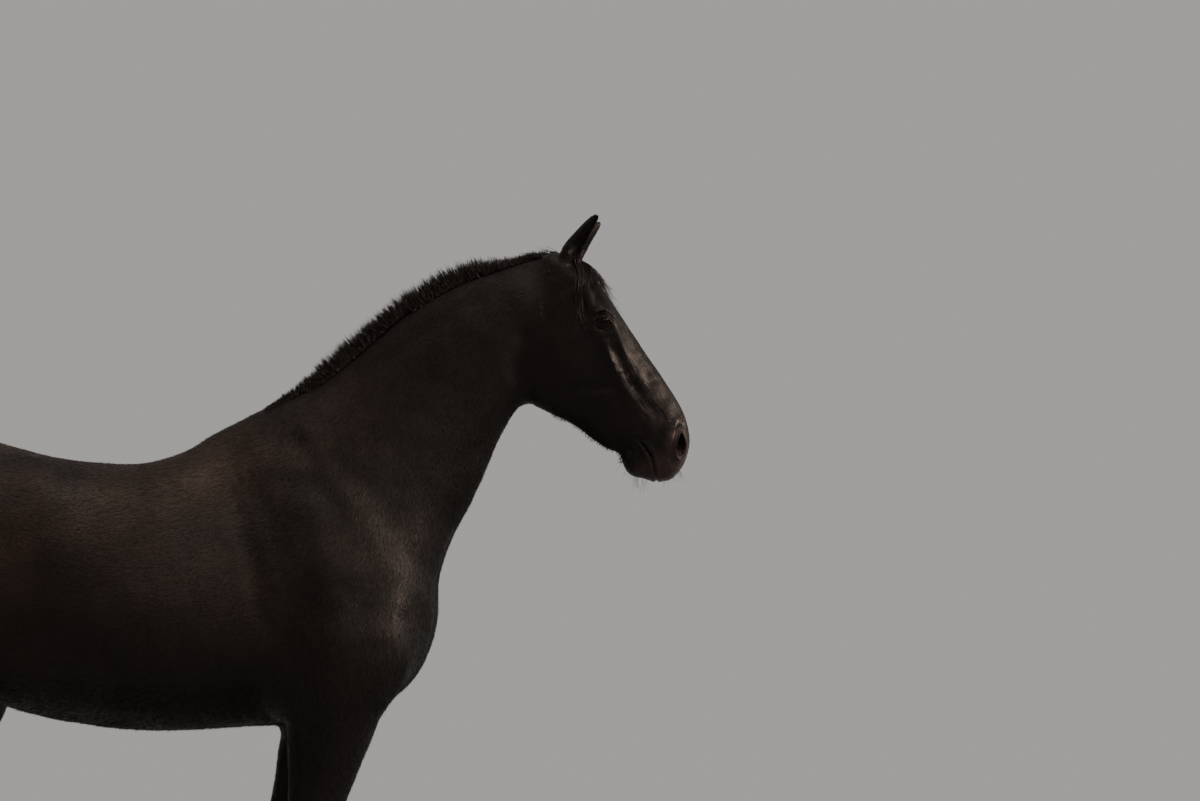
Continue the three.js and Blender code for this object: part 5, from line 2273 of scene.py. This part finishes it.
@dataclass
class HairBed:
    """Geometry Nodes that set blades of hair on a stretch of skin, along the lie stored on it."""

    tree: NodeTree = field(init=False)

    def __post_init__(self) -> None:
        """Builds the tree."""
        self.tree = bpy.data.node_groups.new("hair on skin", "GeometryNodeTree")
        sockets = {
            "Geometry": ("Skin",),
            "Object": ("Blade",),
            "Float": ("Density", "Width", "Thickness", "Stray", "Clump", "Clumps per metre"),
            "Int": ("Seed",),
            "Material": ("Finish",),
        }
        for kind, names in sockets.items():
            for name in names:
                self.tree.interface.new_socket(name, in_out="INPUT", socket_type=f"NodeSocket{kind}")
        self.tree.interface.new_socket("Hair", in_out="OUTPUT", socket_type="NodeSocketGeometry")
        self.wire(self.tree)

    @staticmethod
    def wire(tree: NodeTree) -> None:
        """Adds the nodes: blades on seeded spots of the skin, turned to its lie, made real and finished.

        Args:
            tree: The tree, with its sockets.
        """
        given = add_node(tree, "NodeGroupInput").outputs

        def stored(name: str, kind: str = "FLOAT_VECTOR") -> NodeSocket:
            """A value stored on the geometry."""
            node = add_node(tree, "GeometryNodeInputNamedAttribute", {"Name": name}, data_type=kind)
            return node.outputs[0]

        def chance(kind: str, low: object, high: object, salt: float) -> NodeSocket:
            """A seeded draw for each blade.

            Args:
                kind: FLOAT or FLOAT_VECTOR.
                low: The least that it can be.
                high: The most that it can be.
                salt: What tells it from the other draws.

            Returns:
                The draw.
            """
            first, out = (0, 0) if kind == "FLOAT_VECTOR" else (2, 1)
            ends = {first: low, first + 1: high, "Seed": sum_of(tree, "ADD", given["Seed"], salt)}
            return add_node(tree, "FunctionNodeRandomValue", ends, data_type=kind).outputs[out]

        def keeping(geometry: NodeSocket, name: str, value: object, kind: str) -> NodeSocket:
            """Stores a value on the geometry.

            Args:
                geometry: The geometry.
                name: The value's name.
                value: The value.
                kind: What kind it is.

            Returns:
                The geometry with the value.
            """
            store = {0: geometry, "Name": name, "Value": value}
            where = "CORNER" if kind == "FLOAT2" else "POINT"
            node = add_node(tree, "GeometryNodeStoreNamedAttribute", store, data_type=kind, domain=where)
            return node.outputs[0]

        close = sum_of(tree, "MULTIPLY", given["Density"], stored("density", "FLOAT"))
        bed = {"Mesh": given["Skin"], "Density": close, "Seed": given["Seed"]}
        spots = add_node(tree, "GeometryNodeDistributePointsOnFaces", bed).outputs
        apart = chance("FLOAT_VECTOR", (-1, -1, -1), (1, 1, 1), 1.0)
        stray = vector_sum(tree, "SCALE", apart, given["Stray"])
        place = add_node(tree, "GeometryNodeInputPosition").outputs[0]
        cloud = {"Vector": place, "Scale": given["Clumps per metre"], "Detail": 1.0}
        clumps = add_node(tree, "ShaderNodeTexNoise", cloud).outputs
        swung = vector_sum(tree, "SUBTRACT", clumps[1], (0.5, 0.5, 0.5))
        astray = vector_sum(tree, "ADD", stray, vector_sum(tree, "SCALE", swung, given["Clump"]))
        grown = vector_sum(tree, "ADD", stored("grow"), astray)
        axes = {"Primary Axis": grown, "Secondary Axis": spots["Normal"]}
        turn = add_node(tree, "FunctionNodeAxesToRotation", axes, primary_axis="Z", secondary_axis="Y")
        uneven = sum_of(tree, "MULTIPLY_ADD", clumps[0], given["Clump"], 1.0)
        level = sum_of(tree, "MULTIPLY_ADD", given["Clump"], -0.5, uneven)
        drawn = sum_of(tree, "MULTIPLY", level, chance("FLOAT", 0.7, 1.2, 2.0))
        long = sum_of(tree, "MULTIPLY", stored("height", "FLOAT"), drawn)
        wide = sum_of(tree, "MULTIPLY", given["Width"], chance("FLOAT", 0.6, 1.4, 3.0))
        size = add_node(tree, "ShaderNodeCombineXYZ", {0: wide, 1: given["Thickness"], 2: long}).outputs[0]
        shape = add_node(tree, "GeometryNodeObjectInfo", {"Object": given["Blade"]})
        tinted = keeping(spots["Points"], "tint", chance("FLOAT", 0.0, 1.0, 4.0), "FLOAT")
        facing = keeping(tinted, "facing", spots["Normal"], "FLOAT_VECTOR")
        blades = {"Points": facing, "Instance": shape.outputs["Geometry"], "Scale": size}
        blades["Rotation"] = turn.outputs[0]
        placed = add_node(tree, "GeometryNodeInstanceOnPoints", blades)
        real = add_node(tree, "GeometryNodeRealizeInstances", {0: placed.outputs[0]}).outputs[0]
        flat = vector_sum(tree, "ADD", stored("Atlas"), vector_sum(tree, "SCALE", stored("patch"), PATCH))
        mapped = keeping(real, "OFBake", flat, "FLOAT2")
        dressed = add_node(tree, "GeometryNodeSetMaterial", {0: mapped, "Material": given["Finish"]})
        add_node(tree, "NodeGroupOutput", {0: dressed.outputs[0]})

    def grow(self, name: str, bed: Object, sleek: float, settings: dict[str, object]) -> Object:
        """Grows hair from a stretch of skin.

        Args:
            name: Name of the piece.
            bed: The stretch of skin, which is removed.
            sleek: How far each tuft takes its shading from the skin under it, as flat hair does.
            settings: A value for each named input.

        Returns:
            The hair as a plain mesh.
        """
        change = bed.modifiers.new("hair", "NODES")
        change.node_group = self.tree
        for item in self.tree.interface.items_tree:
            if item.in_out == "INPUT" and item.name in settings:
                change[item.identifier] = settings[item.name]
        mesh = evaluated_mesh(bed)
        bed.modifiers.clear()
        discard(bed)
        for extra in ("Atlas", "lie", "grow", "height", "density", "patch", "Lie"):
            if extra in mesh.attributes:
                mesh.attributes.remove(mesh.attributes[extra])
        mesh.name = name
        made = in_scene(name, mesh)
        shade_smooth(mesh)
        facing = read_rows(mesh.attributes["facing"].data, "vector")
        mesh.attributes.remove(mesh.attributes["facing"])
        if sleek > 0:
            shading = unit((1 - sleek) * normals_of(mesh) + sleek * facing)
            mesh.normals_split_custom_set_from_vertices(shading.tolist())
        return made


@dataclass
class Surface:
    """What the finished skin is like at each of its points, for the hair that grows from it."""

    skin: Skin
    points: Array = field(init=False)
    normals: Array = field(init=False)
    lie: Array = field(init=False)
    head: Array = field(init=False)

    def __post_init__(self) -> None:
        """Reads the skin."""
        mesh = self.skin.body.data
        self.points = in_drawing(points_of(mesh), self.skin.shift)
        self.normals = normals_of(mesh)
        lie = read_rows(mesh.attributes["lie"].data, "vector")
        self.lie = unit(lie - (lie * self.normals).sum(axis=1, keepdims=True) * self.normals)
        self.head = from_head(self.points)

    def bed(self, name: str, keep: Array, grow: Array, height: Array, density: Array) -> Object:
        """A copy of a stretch of the skin for hair to grow from.

        Args:
            name: Its name.
            keep: Which points belong to it.
            grow: Which way the hair points at each point.
            height: How long it is there, in millimetres.
            density: How close it grows there, as a share.

        Returns:
            The stretch.
        """
        mesh = self.skin.body.data.copy()
        mesh.name = name
        write_vectors(mesh, "grow", grow)
        write_numbers(mesh, "height", height * MM)
        write_numbers(mesh, "density", density)
        with editing(mesh) as shape:
            away = [face for face in shape.faces if not keep[face.verts[0].index]]
            bmesh.ops.delete(shape, geom=away, context="FACES")
        return in_scene(name, mesh)


@dataclass(frozen=True)
class Tuft:
    """One kind of hair on the skin: how close it is set, its size in millimetres and how unruly it is."""

    density: float
    width: float
    thickness: float
    stray: float
    clump: float
    clumps: float
    sleek: float = 0.0


@dataclass
class Coat:
    """All the hair that is set on the skin: mane, fringes and the short coat."""

    surface: Surface
    bed: HairBed
    hair: Material
    fur: Material
    thin_out: float = 1.0

    def crest_share(self) -> tuple[Array, Array, Array, Array]:
        """Where each point lies along the crest of the neck.

        Returns:
            Share of the way to the poll, the crest's ways forward and up there, and the distance to it.
        """
        line = catmull_rom(np.array(TRUNK, float), np.linspace(*MANE_SPAN, 240))[:, :2]
        tangent = unit(np.gradient(line, axis=0))
        crest = search_tree(np.insert(line, 1, 0, axis=1))
        hits = [crest.find((point[0], 0, point[2])) for point in self.surface.points]
        index, gap = np.array([hit[1] for hit in hits]), np.array([hit[2] for hit in hits])
        forward = np.stack([tangent[index, 0], np.zeros(len(index)), tangent[index, 1]], axis=-1)
        up = np.stack([-forward[:, 2], forward[:, 1], forward[:, 0]], axis=-1)
        return index / (len(line) - 1), forward, up, gap

    def grow(self, name: str, bed: Object, shape: Object, kind: Tuft, seed: int, finish: Material) -> Object:
        """Grows one piece of hair.

        Args:
            name: Name of the piece.
            bed: The stretch of skin.
            shape: The blade.
            kind: How the blades are set.
            seed: What tells its draws from another piece's.
            finish: Its finish.

        Returns:
            The piece.
        """
        named = {
            "Blade": shape,
            "Density": kind.density * self.thin_out,
            "Width": kind.width * MM,
            "Thickness": kind.thickness * MM,
            "Stray": kind.stray,
            "Clump": kind.clump,
            "Clumps per metre": kind.clumps,
            "Seed": seed,
            "Finish": finish,
        }
        return self.bed.grow(name, bed, kind.sleek, named)

    def mane(self) -> Object:
        """Hogged mane: close upright bristles along the crest.

        Returns:
            The mane.
        """
        here, half = self.surface, 21
        share, forward, up, gap = self.crest_share()
        inside = (np.abs(here.points[:, 1]) < half) & (gap < 26) & ((here.normals * up).sum(axis=1) > 0.1)
        inside &= (share > 0.002) & (share < 0.998)
        grown = 0.14 + 0.86 * smoothstep(0.02, 0.42, share)
        clipped = 0.62 * smoothstep(0.76, 0.9, share)
        height = 46 * grown * (1 - clipped)
        inward = 1 - 0.5 * (np.abs(here.points[:, 1]) / half) ** 2
        lean = 0.12 * np.sin(share * 70) + 0.1 * np.sin(share * 31 + 1)
        grow = up + forward * lean[:, None] + np.array([0, 1.0, 0]) * (here.points[:, 1:2] / half) * 0.22
        bed = here.bed("mane_bed", inside, grow, height * inward, np.ones(len(height)))
        kind = Tuft(228000, 2.2, 1.4, stray=0.16, clump=0.7, clumps=95.0)
        return self.grow("mane", bed, blade(4, 0.04), kind, 3, self.hair)

    def short_coat(self) -> list[Object]:
        """Short flat tufts all over, longest on the trunk and shortest on the face.

        Returns:
            One piece for each region.
        """
        here = self.surface
        x, _, z = here.points.T
        u = here.head[:, 0]
        on_face = (x > HEAD_FROM) & ((u > 60) | (z > 2062))
        low = (z < 640) & ~on_face
        body = 15.0 - 8.5 * smoothstep(600, 790, x)
        down_face = np.where(on_face, u, 0)
        height = np.where(on_face, 5.0, np.where(low, 8.0, body)) - 2.2 * (z > 2080)
        height = height * (1 - 0.55 * smoothstep(480, 590, down_face))
        density = 1 - smoothstep(566, 612, down_face)
        grow = here.lie + 0.2 * here.normals
        shape = blade(1, -0.11)
        made = []
        regions = (
            ("coat_face", on_face, 150000, 0.9, 0.88),
            ("coat_neck", (x > 190) & ~on_face & ~low, 34000, 1.5, 0.84),
            ("coat_barrel", (x <= 190) & (x > -420) & ~low, 30000, 1.7, 0.74),
            ("coat_haunch", (x <= -420) & ~low, 25000, 1.8, 0.74),
            ("coat_legs", low, 70000, 1.1, 0.84),
        )
        for seed, (name, region, count, width, sleek) in enumerate(regions):
            bed = here.bed(name + "_bed", region, grow, height, density)
            kind = Tuft(count, width, 0.5, stray=0.1, clump=0.3, clumps=26.0, sleek=sleek)
            made.append(self.grow(name, bed, shape, kind, seed + 10, self.fur))
        return made

    def fringes(self) -> list[Object]:
        """Longer hair where the form breaks: jaw, throat, belly, fetlocks and coronets.

        Returns:
            One piece for each place.
        """
        here = self.surface
        x, _, z = here.points.T
        ahead, _, up = here.normals.T
        u = here.head[:, 0]
        under = smoothstep(0.3, 0.8, -(here.normals @ turned_onto_head(np.array([0, 0, 1.0]))))
        jaw = (x > HEAD_FROM) & (u > 130) & (u < 560) & (under > 0.05)
        belly = (z < 960) & (x < 420) & (x > -560) & (up < -0.55) & (z > 800)
        throat = (x > 560) & (x < HEAD_FROM) & (z < 1800) & (ahead > 0.5) & (up < 0.1)
        feather = (z < 300) & (z > 120) & (ahead < -0.35)
        crown = (z < 126) & (z > 40)
        bushy = np.exp(-(((z - 205) / 45) ** 2))
        ones = np.ones(len(x))
        jaw_height = 14 * under * smoothstep(120, 200, u) * (0.7 + 0.3 * np.sin(u / 9) * np.sin(u / 23))
        tufts = (
            ("jaw_fringe", jaw, 1.0, 0.35, jaw_height, under, 62000, 1.1, 0.4, self.fur),
            ("throat_fringe", throat, 0.35, 1.0, 9 * ones, ones, 26000, 1.0, 0.3, self.fur),
            ("belly_fringe", belly, 0.28, 1.0, 13 * ones, ones, 12000, 1.8, 0.3, self.fur),
            ("fetlock_hair", feather, 0.35, 1.0, 10 + 26 * bushy, 0.4 + bushy, 90000, 1.4, 0.2, self.hair),
            ("coronet_hair", crown, 0.3, 1.0, 15 * ones, ones, 90000, 1.2, 0.15, self.fur),
        )
        spike = blade(2, 0.1)
        made = []
        for seed, (name, place, rise, flow, height, close, count, width, stray, look) in enumerate(tufts):
            bed = here.bed(name + "_bed", place, flow * here.lie + rise * here.normals, height, close)
            kind = Tuft(count, width, 0.7, stray=stray, clump=0.5, clumps=60.0)
            made.append(self.grow(name, bed, spike, kind, seed + 30, look))
        return made


# ------------------------------------------------------------------ finishes


def linear(code: str) -> tuple[float, float, float, float]:
    """An sRGB hex colour as linear numbers.

    Args:
        code: The colour as # and six digits.

    Returns:
        Red, green and blue, and an opacity of 1.
    """
    parts = [int(code[i : i + 2], 16) / 255 for i in (1, 3, 5)]
    turned = [part / 12.92 if part <= 0.04045 else ((part + 0.055) / 1.055) ** 2.4 for part in parts]
    return (*turned, 1.0)


def new_material(name: str) -> tuple[Material, NodeTree, Node]:
    """An empty material with its shader.

    Args:
        name: Its name.

    Returns:
        The material, its tree and its shader.
    """
    material = bpy.data.materials.new(name)
    material.use_nodes = True
    tree = material.node_tree
    tree.nodes.clear()
    shader = tree.nodes.new("ShaderNodeBsdfPrincipled")
    add_node(tree, "ShaderNodeOutputMaterial", {"Surface": shader.outputs[0]})
    return material, tree, shader


def cloud(
    tree: NodeTree, place: NodeSocket, scale: float, detail: float, roughness: float = 0.5
) -> NodeSocket:
    """Noise, mostly between 0.3 and 0.7.

    Args:
        tree: The tree that it joins.
        place: Where it is read.
        scale: How many swells it has in each unit of length.
        detail: How many times finer swells are added.
        roughness: How strong the finer ones are.

    Returns:
        The noise.
    """
    given = {"Vector": place, "Scale": scale, "Detail": detail, "Roughness": roughness}
    return add_node(tree, "ShaderNodeTexNoise", given).outputs[0]


def mixed(tree: NodeTree, share: object, first: object, second: object) -> NodeSocket:
    """A mix of two colours.

    Args:
        tree: The tree that it joins.
        share: How much of it is the second one.
        first: One colour.
        second: The other colour.

    Returns:
        The mix.
    """
    return add_node(tree, "ShaderNodeMix", {0: share, 6: first, 7: second}, data_type="RGBA").outputs[2]


@dataclass(frozen=True)
class BlackCoat:
    """Short black hair of a groomed horse: nearly black, bleached brown on the back, with a satin gloss."""

    black: str = "#0b0a0a"
    brown: str = "#2c1f19"
    bare: str = "#2d2221"
    glint: str = "#ffece3"  # its highlights are a little warm, as on real hair
    gloss: float = 0.2
    sheen: tuple[float, float] = (0.38, 0.6)  # roughness from the glossiest patches to the dullest
    sleek_head: float = 0.76  # the thin coat of the head is glossier by this factor
    clump: tuple[float, float] = (45.0, 9.0)  # millimetres along and across the hair; coarser than real locks
    hair: tuple[float, float] = (16.0, 1.6)  # drawn wider than a single hair, which is 0.1 mm, to show at all

    def colour(self, tree: NodeTree) -> NodeSocket:
        """Black with brown clouds, browner towards the back.

        Args:
            tree: The material's tree.

        Returns:
            The colour.
        """
        place = add_node(tree, "ShaderNodeTexCoord").outputs["Object"]
        parted = add_node(tree, "ShaderNodeSeparateXYZ", {0: place}).outputs
        upper = ramp(tree, parted["Z"], 0.9, 1.5, 0.0, 1.0)
        rear = ramp(tree, parted["X"], 0.1, 0.5, 1.0, 0.12)
        patch = ramp(tree, cloud(tree, place, 3.1, 5.0, 0.6), 0.42, 0.7, 0.03, 1.0)
        share = sum_of(tree, "MULTIPLY", sum_of(tree, "MULTIPLY", upper, rear), patch)
        return mixed(tree, share, linear(self.black), linear(self.brown))

    def dullness(self, tree: NodeTree) -> NodeSocket:
        """Roughness that drifts from groomed, glossy patches to duller ones.

        Args:
            tree: The material's tree.

        Returns:
            The roughness.
        """
        place = add_node(tree, "ShaderNodeTexCoord").outputs["Object"]
        parted = add_node(tree, "ShaderNodeSeparateXYZ", {0: place}).outputs
        head = ramp(tree, parted["X"], 0.7, 0.95, 1.0, self.sleek_head)
        drift = ramp(tree, cloud(tree, place, 8.0, 5.0, 0.65), 0.35, 0.65, *self.sheen)
        return sum_of(tree, "MULTIPLY", drift, head)

    def skin(self) -> Material:
        """The skin under the tufts, with the hair's lie as relief, and bare skin at the lips and the lids.

        Returns:
            The material.
        """
        material, tree, shader = new_material("short black horse hair, groomed")
        flow = add_node(tree, "ShaderNodeUVMap", uv_map="Lie").outputs[0]
        bare = add_node(tree, "ShaderNodeAttribute", attribute_name="bare").outputs["Fac"]
        furred = ramp(tree, bare, 0.0, 1.0, 1.0, 0.12)
        place = add_node(tree, "ShaderNodeTexCoord").outputs["Object"]
        pores = add_node(tree, "ShaderNodeTexVoronoi", {"Vector": place, "Scale": 420.0}).outputs[0]
        layers = []
        for (long, wide), depth in ((self.clump, 0.0011), (self.hair, 0.0005)):
            drawn = {"Vector": flow, "Scale": (1 / (long * MM), 1 / (wide * MM), 1.0)}
            along = add_node(tree, "ShaderNodeMapping", drawn).outputs[0]
            lines = {"Vector": along, "Scale": 1.0, "Detail": 3.0, "Distortion": 0.5}
            noise_node = add_node(tree, "ShaderNodeTexNoise", lines, noise_dimensions="2D")
            layers.append((noise_node.outputs[0], furred, depth))
        relief = {}
        for height, strength, depth in [*layers, (pores, bare, 0.0004)]:
            given = {"Height": height, "Strength": strength, "Distance": depth, **relief}
            relief = {"Normal": add_node(tree, "ShaderNodeBump", given).outputs[0]}
        colour = mixed(tree, bare, self.colour(tree), linear(self.bare))
        feed(tree, shader, {"Base Color": colour, "Roughness": self.dullness(tree), **self.shine(), **relief})
        return material

    def tufts(self) -> Material:
        """The tufts: the same black and brown, a little lighter or darker from one to the next.

        Returns:
            The material.
        """
        material, tree, shader = new_material("tufts of short black horse hair")
        tint = add_node(tree, "ShaderNodeAttribute", attribute_name="tint").outputs["Fac"]
        shade = vector_sum(tree, "SCALE", self.colour(tree), ramp(tree, tint, 0.0, 1.0, 0.75, 1.5))
        rough = sum_of(tree, "MULTIPLY", self.dullness(tree), ramp(tree, tint, 0.0, 1.0, 0.78, 1.3))
        feed(tree, shader, {"Base Color": shade, "Roughness": rough, **self.shine()})
        return material

    def shine(self) -> dict[str, object]:
        """How strongly skin and tufts shine, and in what colour."""
        return {"Specular IOR Level": self.gloss, "Specular Tint": linear(self.glint)}


@dataclass(frozen=True)
class LongHair:
    """Coarse black hair of the mane and the tail: each strand a dark gloss."""

    black: str = "#090707"
    brown: str = "#17110e"
    glint: str = "#ffeee6"
    roughness: float = 0.36
    gloss: float = 0.34

    def build(self) -> Material:
        """Makes the material.

        Returns:
            The material.
        """
        material, tree, shader = new_material("coarse black horse hair")
        tint = add_node(tree, "ShaderNodeAttribute", attribute_name="tint").outputs["Fac"]
        looks = {
            "Base Color": mixed(tree, tint, linear(self.black), linear(self.brown)),
            "Roughness": self.roughness,
            "Specular IOR Level": self.gloss,
            "Specular Tint": linear(self.glint),
        }
        feed(tree, shader, looks)
        return material


@dataclass(frozen=True)
class HoofHorn:
    """Dark hoof horn: satin, with rings of growth and fine upright fibres."""

    dark: str = "#0e0c0b"
    light: str = "#26201d"
    roughness: float = 0.5
    gloss: float = 0.25

    def build(self) -> Material:
        """Makes the material.

        Returns:
            The material.
        """
        material, tree, shader = new_material("dark hoof horn")
        place = add_node(tree, "ShaderNodeTexCoord").outputs["Object"]
        fibre = add_node(tree, "ShaderNodeMapping", {"Vector": place, "Scale": (420.0, 420.0, 18.0)})
        grain = cloud(tree, fibre.outputs[0], 1.0, 4.0)
        relief = add_node(tree, "ShaderNodeBump", {"Height": grain, "Strength": 0.3, "Distance": 0.0006})
        looks = {
            "Base Color": mixed(tree, grain, linear(self.dark), linear(self.light)),
            "Normal": relief.outputs[0],
            "Roughness": self.roughness,
            "Specular IOR Level": self.gloss,
        }
        feed(tree, shader, looks)
        return material


@dataclass(frozen=True)
class WetEye:
    """A horse's eye: dark brown iris with fine rays round a level pupil, behind a wet clear front."""

    iris: str = "#1c0e08"
    rim: str = "#070403"
    pupil: str = "#020203"
    iris_size: float = 0.46
    pupil_size: float = 0.24
    pupil_shape: tuple[float, float, float] = (1.0, 1.7, 0.0)  # it is 1.7 times as wide as it is high

    def build(self) -> Material:
        """Makes the material.

        Returns:
            The material.
        """
        material, tree, shader = new_material("wet dark brown eye")
        gaze = add_node(tree, "ShaderNodeUVMap", uv_map="Gaze").outputs[0]
        centred = vector_sum(tree, "SUBTRACT", gaze, (0.5, 0.5, 0.0))
        away = vector_sum(tree, "LENGTH", centred)
        level = vector_sum(tree, "LENGTH", vector_sum(tree, "MULTIPLY", centred, self.pupil_shape))
        turn = vector_sum(tree, "NORMALIZE", centred)
        rays = ramp(tree, cloud(tree, turn, 14.0, 3.0), 0.35, 0.65, 0.35, 1.2)
        fibres = mixed(tree, rays, linear(self.rim), linear(self.iris))
        outer = ramp(tree, away, self.iris_size - 0.1, self.iris_size, 0.0, 1.0)
        inner = ramp(tree, level, self.pupil_size, self.pupil_size + 0.04, 0.0, 1.0)
        ringed = mixed(tree, outer, fibres, linear(self.rim))
        looks = {
            "Base Color": mixed(tree, inner, linear(self.pupil), ringed),
            "Roughness": 0.4,
            "Specular IOR Level": 0.0,
            "Coat Weight": 0.3,
            "Coat Roughness": 0.02,
        }
        feed(tree, shader, looks)
        return material


@dataclass(frozen=True)
class StudioFloor:
    """Plain pale studio paper."""

    pale: str = "#989da1"

    def build(self) -> Material:
        """Makes the material.

        Returns:
            The material.
        """
        material, tree, shader = new_material("plain pale studio paper")
        feed(tree, shader, {"Base Color": linear(self.pale), "Roughness": 1.0, "Specular IOR Level": 0.0})
        return material


# ------------------------------------------------------------------ studio


@dataclass(frozen=True)
class Studio:
    """Plain pale floor, soft light and the camera."""

    distance: float = 7.5
    azimuth: float = 3.0
    eye_height: float = 0.975
    target: tuple[float, float] = (0.920, 1.67375)
    lens: float = 90.0
    sensor: float = 36.0
    walls: str = "#aba8a5"
    glow: str = "#fff0e2"
    floor_half: float = 40.0

    def floor(self) -> Object:
        """The floor.

        Returns:
            The floor.
        """
        edge = self.floor_half
        corners = np.array([[-edge, -edge, 0], [edge, -edge, 0], [edge, edge, 0], [-edge, edge, 0]])
        made = mesh_object("floor", corners, [(0, 1, 2, 3)])
        made.data.materials.append(StudioFloor().build())
        return made

    def camera(self, shift: float) -> Object:
        """The camera, level with the animal's chest and looking a little up.

        Args:
            shift: What places the drawing in the frame.

        Returns:
            The camera.
        """
        data = bpy.data.cameras.new("camera")
        data.lens, data.sensor_width = self.lens, self.sensor
        made = in_scene("camera", data)
        turn, away = math.radians(self.azimuth), self.distance
        target = Vector((self.target[0] + shift, 0, self.target[1]))
        made.location = (target.x + away * math.sin(turn), -away * math.cos(turn), self.eye_height)
        made.rotation_euler = (target - made.location).to_track_quat("-Z", "Y").to_euler()
        bpy.context.scene.camera = made
        return made

    def lamp(self, name: str, aim: tuple[float, float, float], spread: float, power: float) -> Object:
        """A distant soft lamp.

        Args:
            name: Its name.
            aim: Where it stands, as seen from the animal.
            spread: How wide it looks from there, in degrees.
            power: Its power in watts for each square metre.

        Returns:
            The lamp.
        """
        data = bpy.data.lights.new(name, "SUN")
        data.angle, data.energy = math.radians(spread), power
        data.color = linear(self.glow)[:3]
        made = in_scene(name, data)
        made.rotation_euler = Vector(aim).to_track_quat("Z", "Y").to_euler()
        return made

    def light(self) -> None:
        """Pale surroundings, a wide soft lamp overhead, and three small ones ahead, beside and beyond."""
        world = bpy.data.worlds.new("studio")
        bpy.context.scene.world = world
        world.use_nodes = True
        ground = world.node_tree.nodes["Background"]
        ground.inputs[0].default_value = linear(self.walls)
        ground.inputs[1].default_value = 1.0
        self.lamp("lamp over", (-0.05, -0.25, 1.0), 36, 1.25)
        self.lamp("lamp ahead", (1.0, -0.25, 0.45), 14, 3.2)
        self.lamp("lamp beside", (0.45, -0.85, 0.45), 12, 0.5)
        self.lamp("lamp behind", (0.9, 0.8, 0.5), 14, 0.2)


# ------------------------------------------------------------------ the horse

FLESH_NODES = ("torso", "neck", "head") + tuple(
    f"{name}_{side}"
    for name in ("ear", "foreleg", "fore_cannon", "hindleg", "hind_cannon")
    for side in ("left", "right")
)


def dress(piece: Object, slot: str, material: Material | None, *nodes: str) -> None:
    """Sets a piece on the body and gives it its finish.

    Args:
        piece: The piece.
        slot: The record's slot of its finish; not used.
        material: Its finish, or None where it has one.
        nodes: The solids that it stands for.
    """
    if material is not None:
        piece.data.materials.clear()
        piece.data.materials.append(material)
    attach(piece, "root")
    if nodes:
        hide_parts(*nodes)
    log.info("%s: %d faces", piece.name, len(piece.data.polygons))


def main() -> None:
    """Builds the horse piece by piece in its studio."""
    logging.basicConfig(level=logging.INFO, format="%(message)s")
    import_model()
    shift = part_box("fore_hoof_right")[1].x - HOOF_TOE * MM
    studio = Studio()
    studio.floor()
    studio.camera(shift)
    studio.light()
    coat, hair, horn, wet = BlackCoat(), LongHair().build(), HoofHorn().build(), WetEye().build()
    skin = Skin(shift)
    dress(skin.build(), "coat", coat.skin(), *FLESH_NODES)
    for side in Side:
        label = side.name.lower()
        dress(Eye().build(side, shift), "eye", wet, f"eye_{label}")
        for limb, stance in (("fore", FORE_STANCE), ("hind", HIND_STANCE)):
            dress(Hoof().build(limb, stance, side, shift), "horn", horn, f"{limb}_hoof_{label}")
    tail_locks, tail_strands = Tail().build(skin)
    dress(tail_locks, "hair", hair, "tail")
    dress(tail_strands, "hair", hair)
    ground = Ground(skin)
    for piece in [*Forelock().build(ground), *FineHair().build(ground)]:
        dress(piece, "hair", hair)
    grown = Coat(Surface(skin), HairBed(), hair, coat.tufts(), thin_out=1.0)
    dress(grown.mane(), "hair", None)
    for piece in [*grown.short_coat(), *grown.fringes()]:
        dress(piece, "coat", None)
    for leftover in [made for made in bpy.data.objects if made.name.startswith("blade")]:
        discard(leftover)


if __name__ == "__main__":
    main()
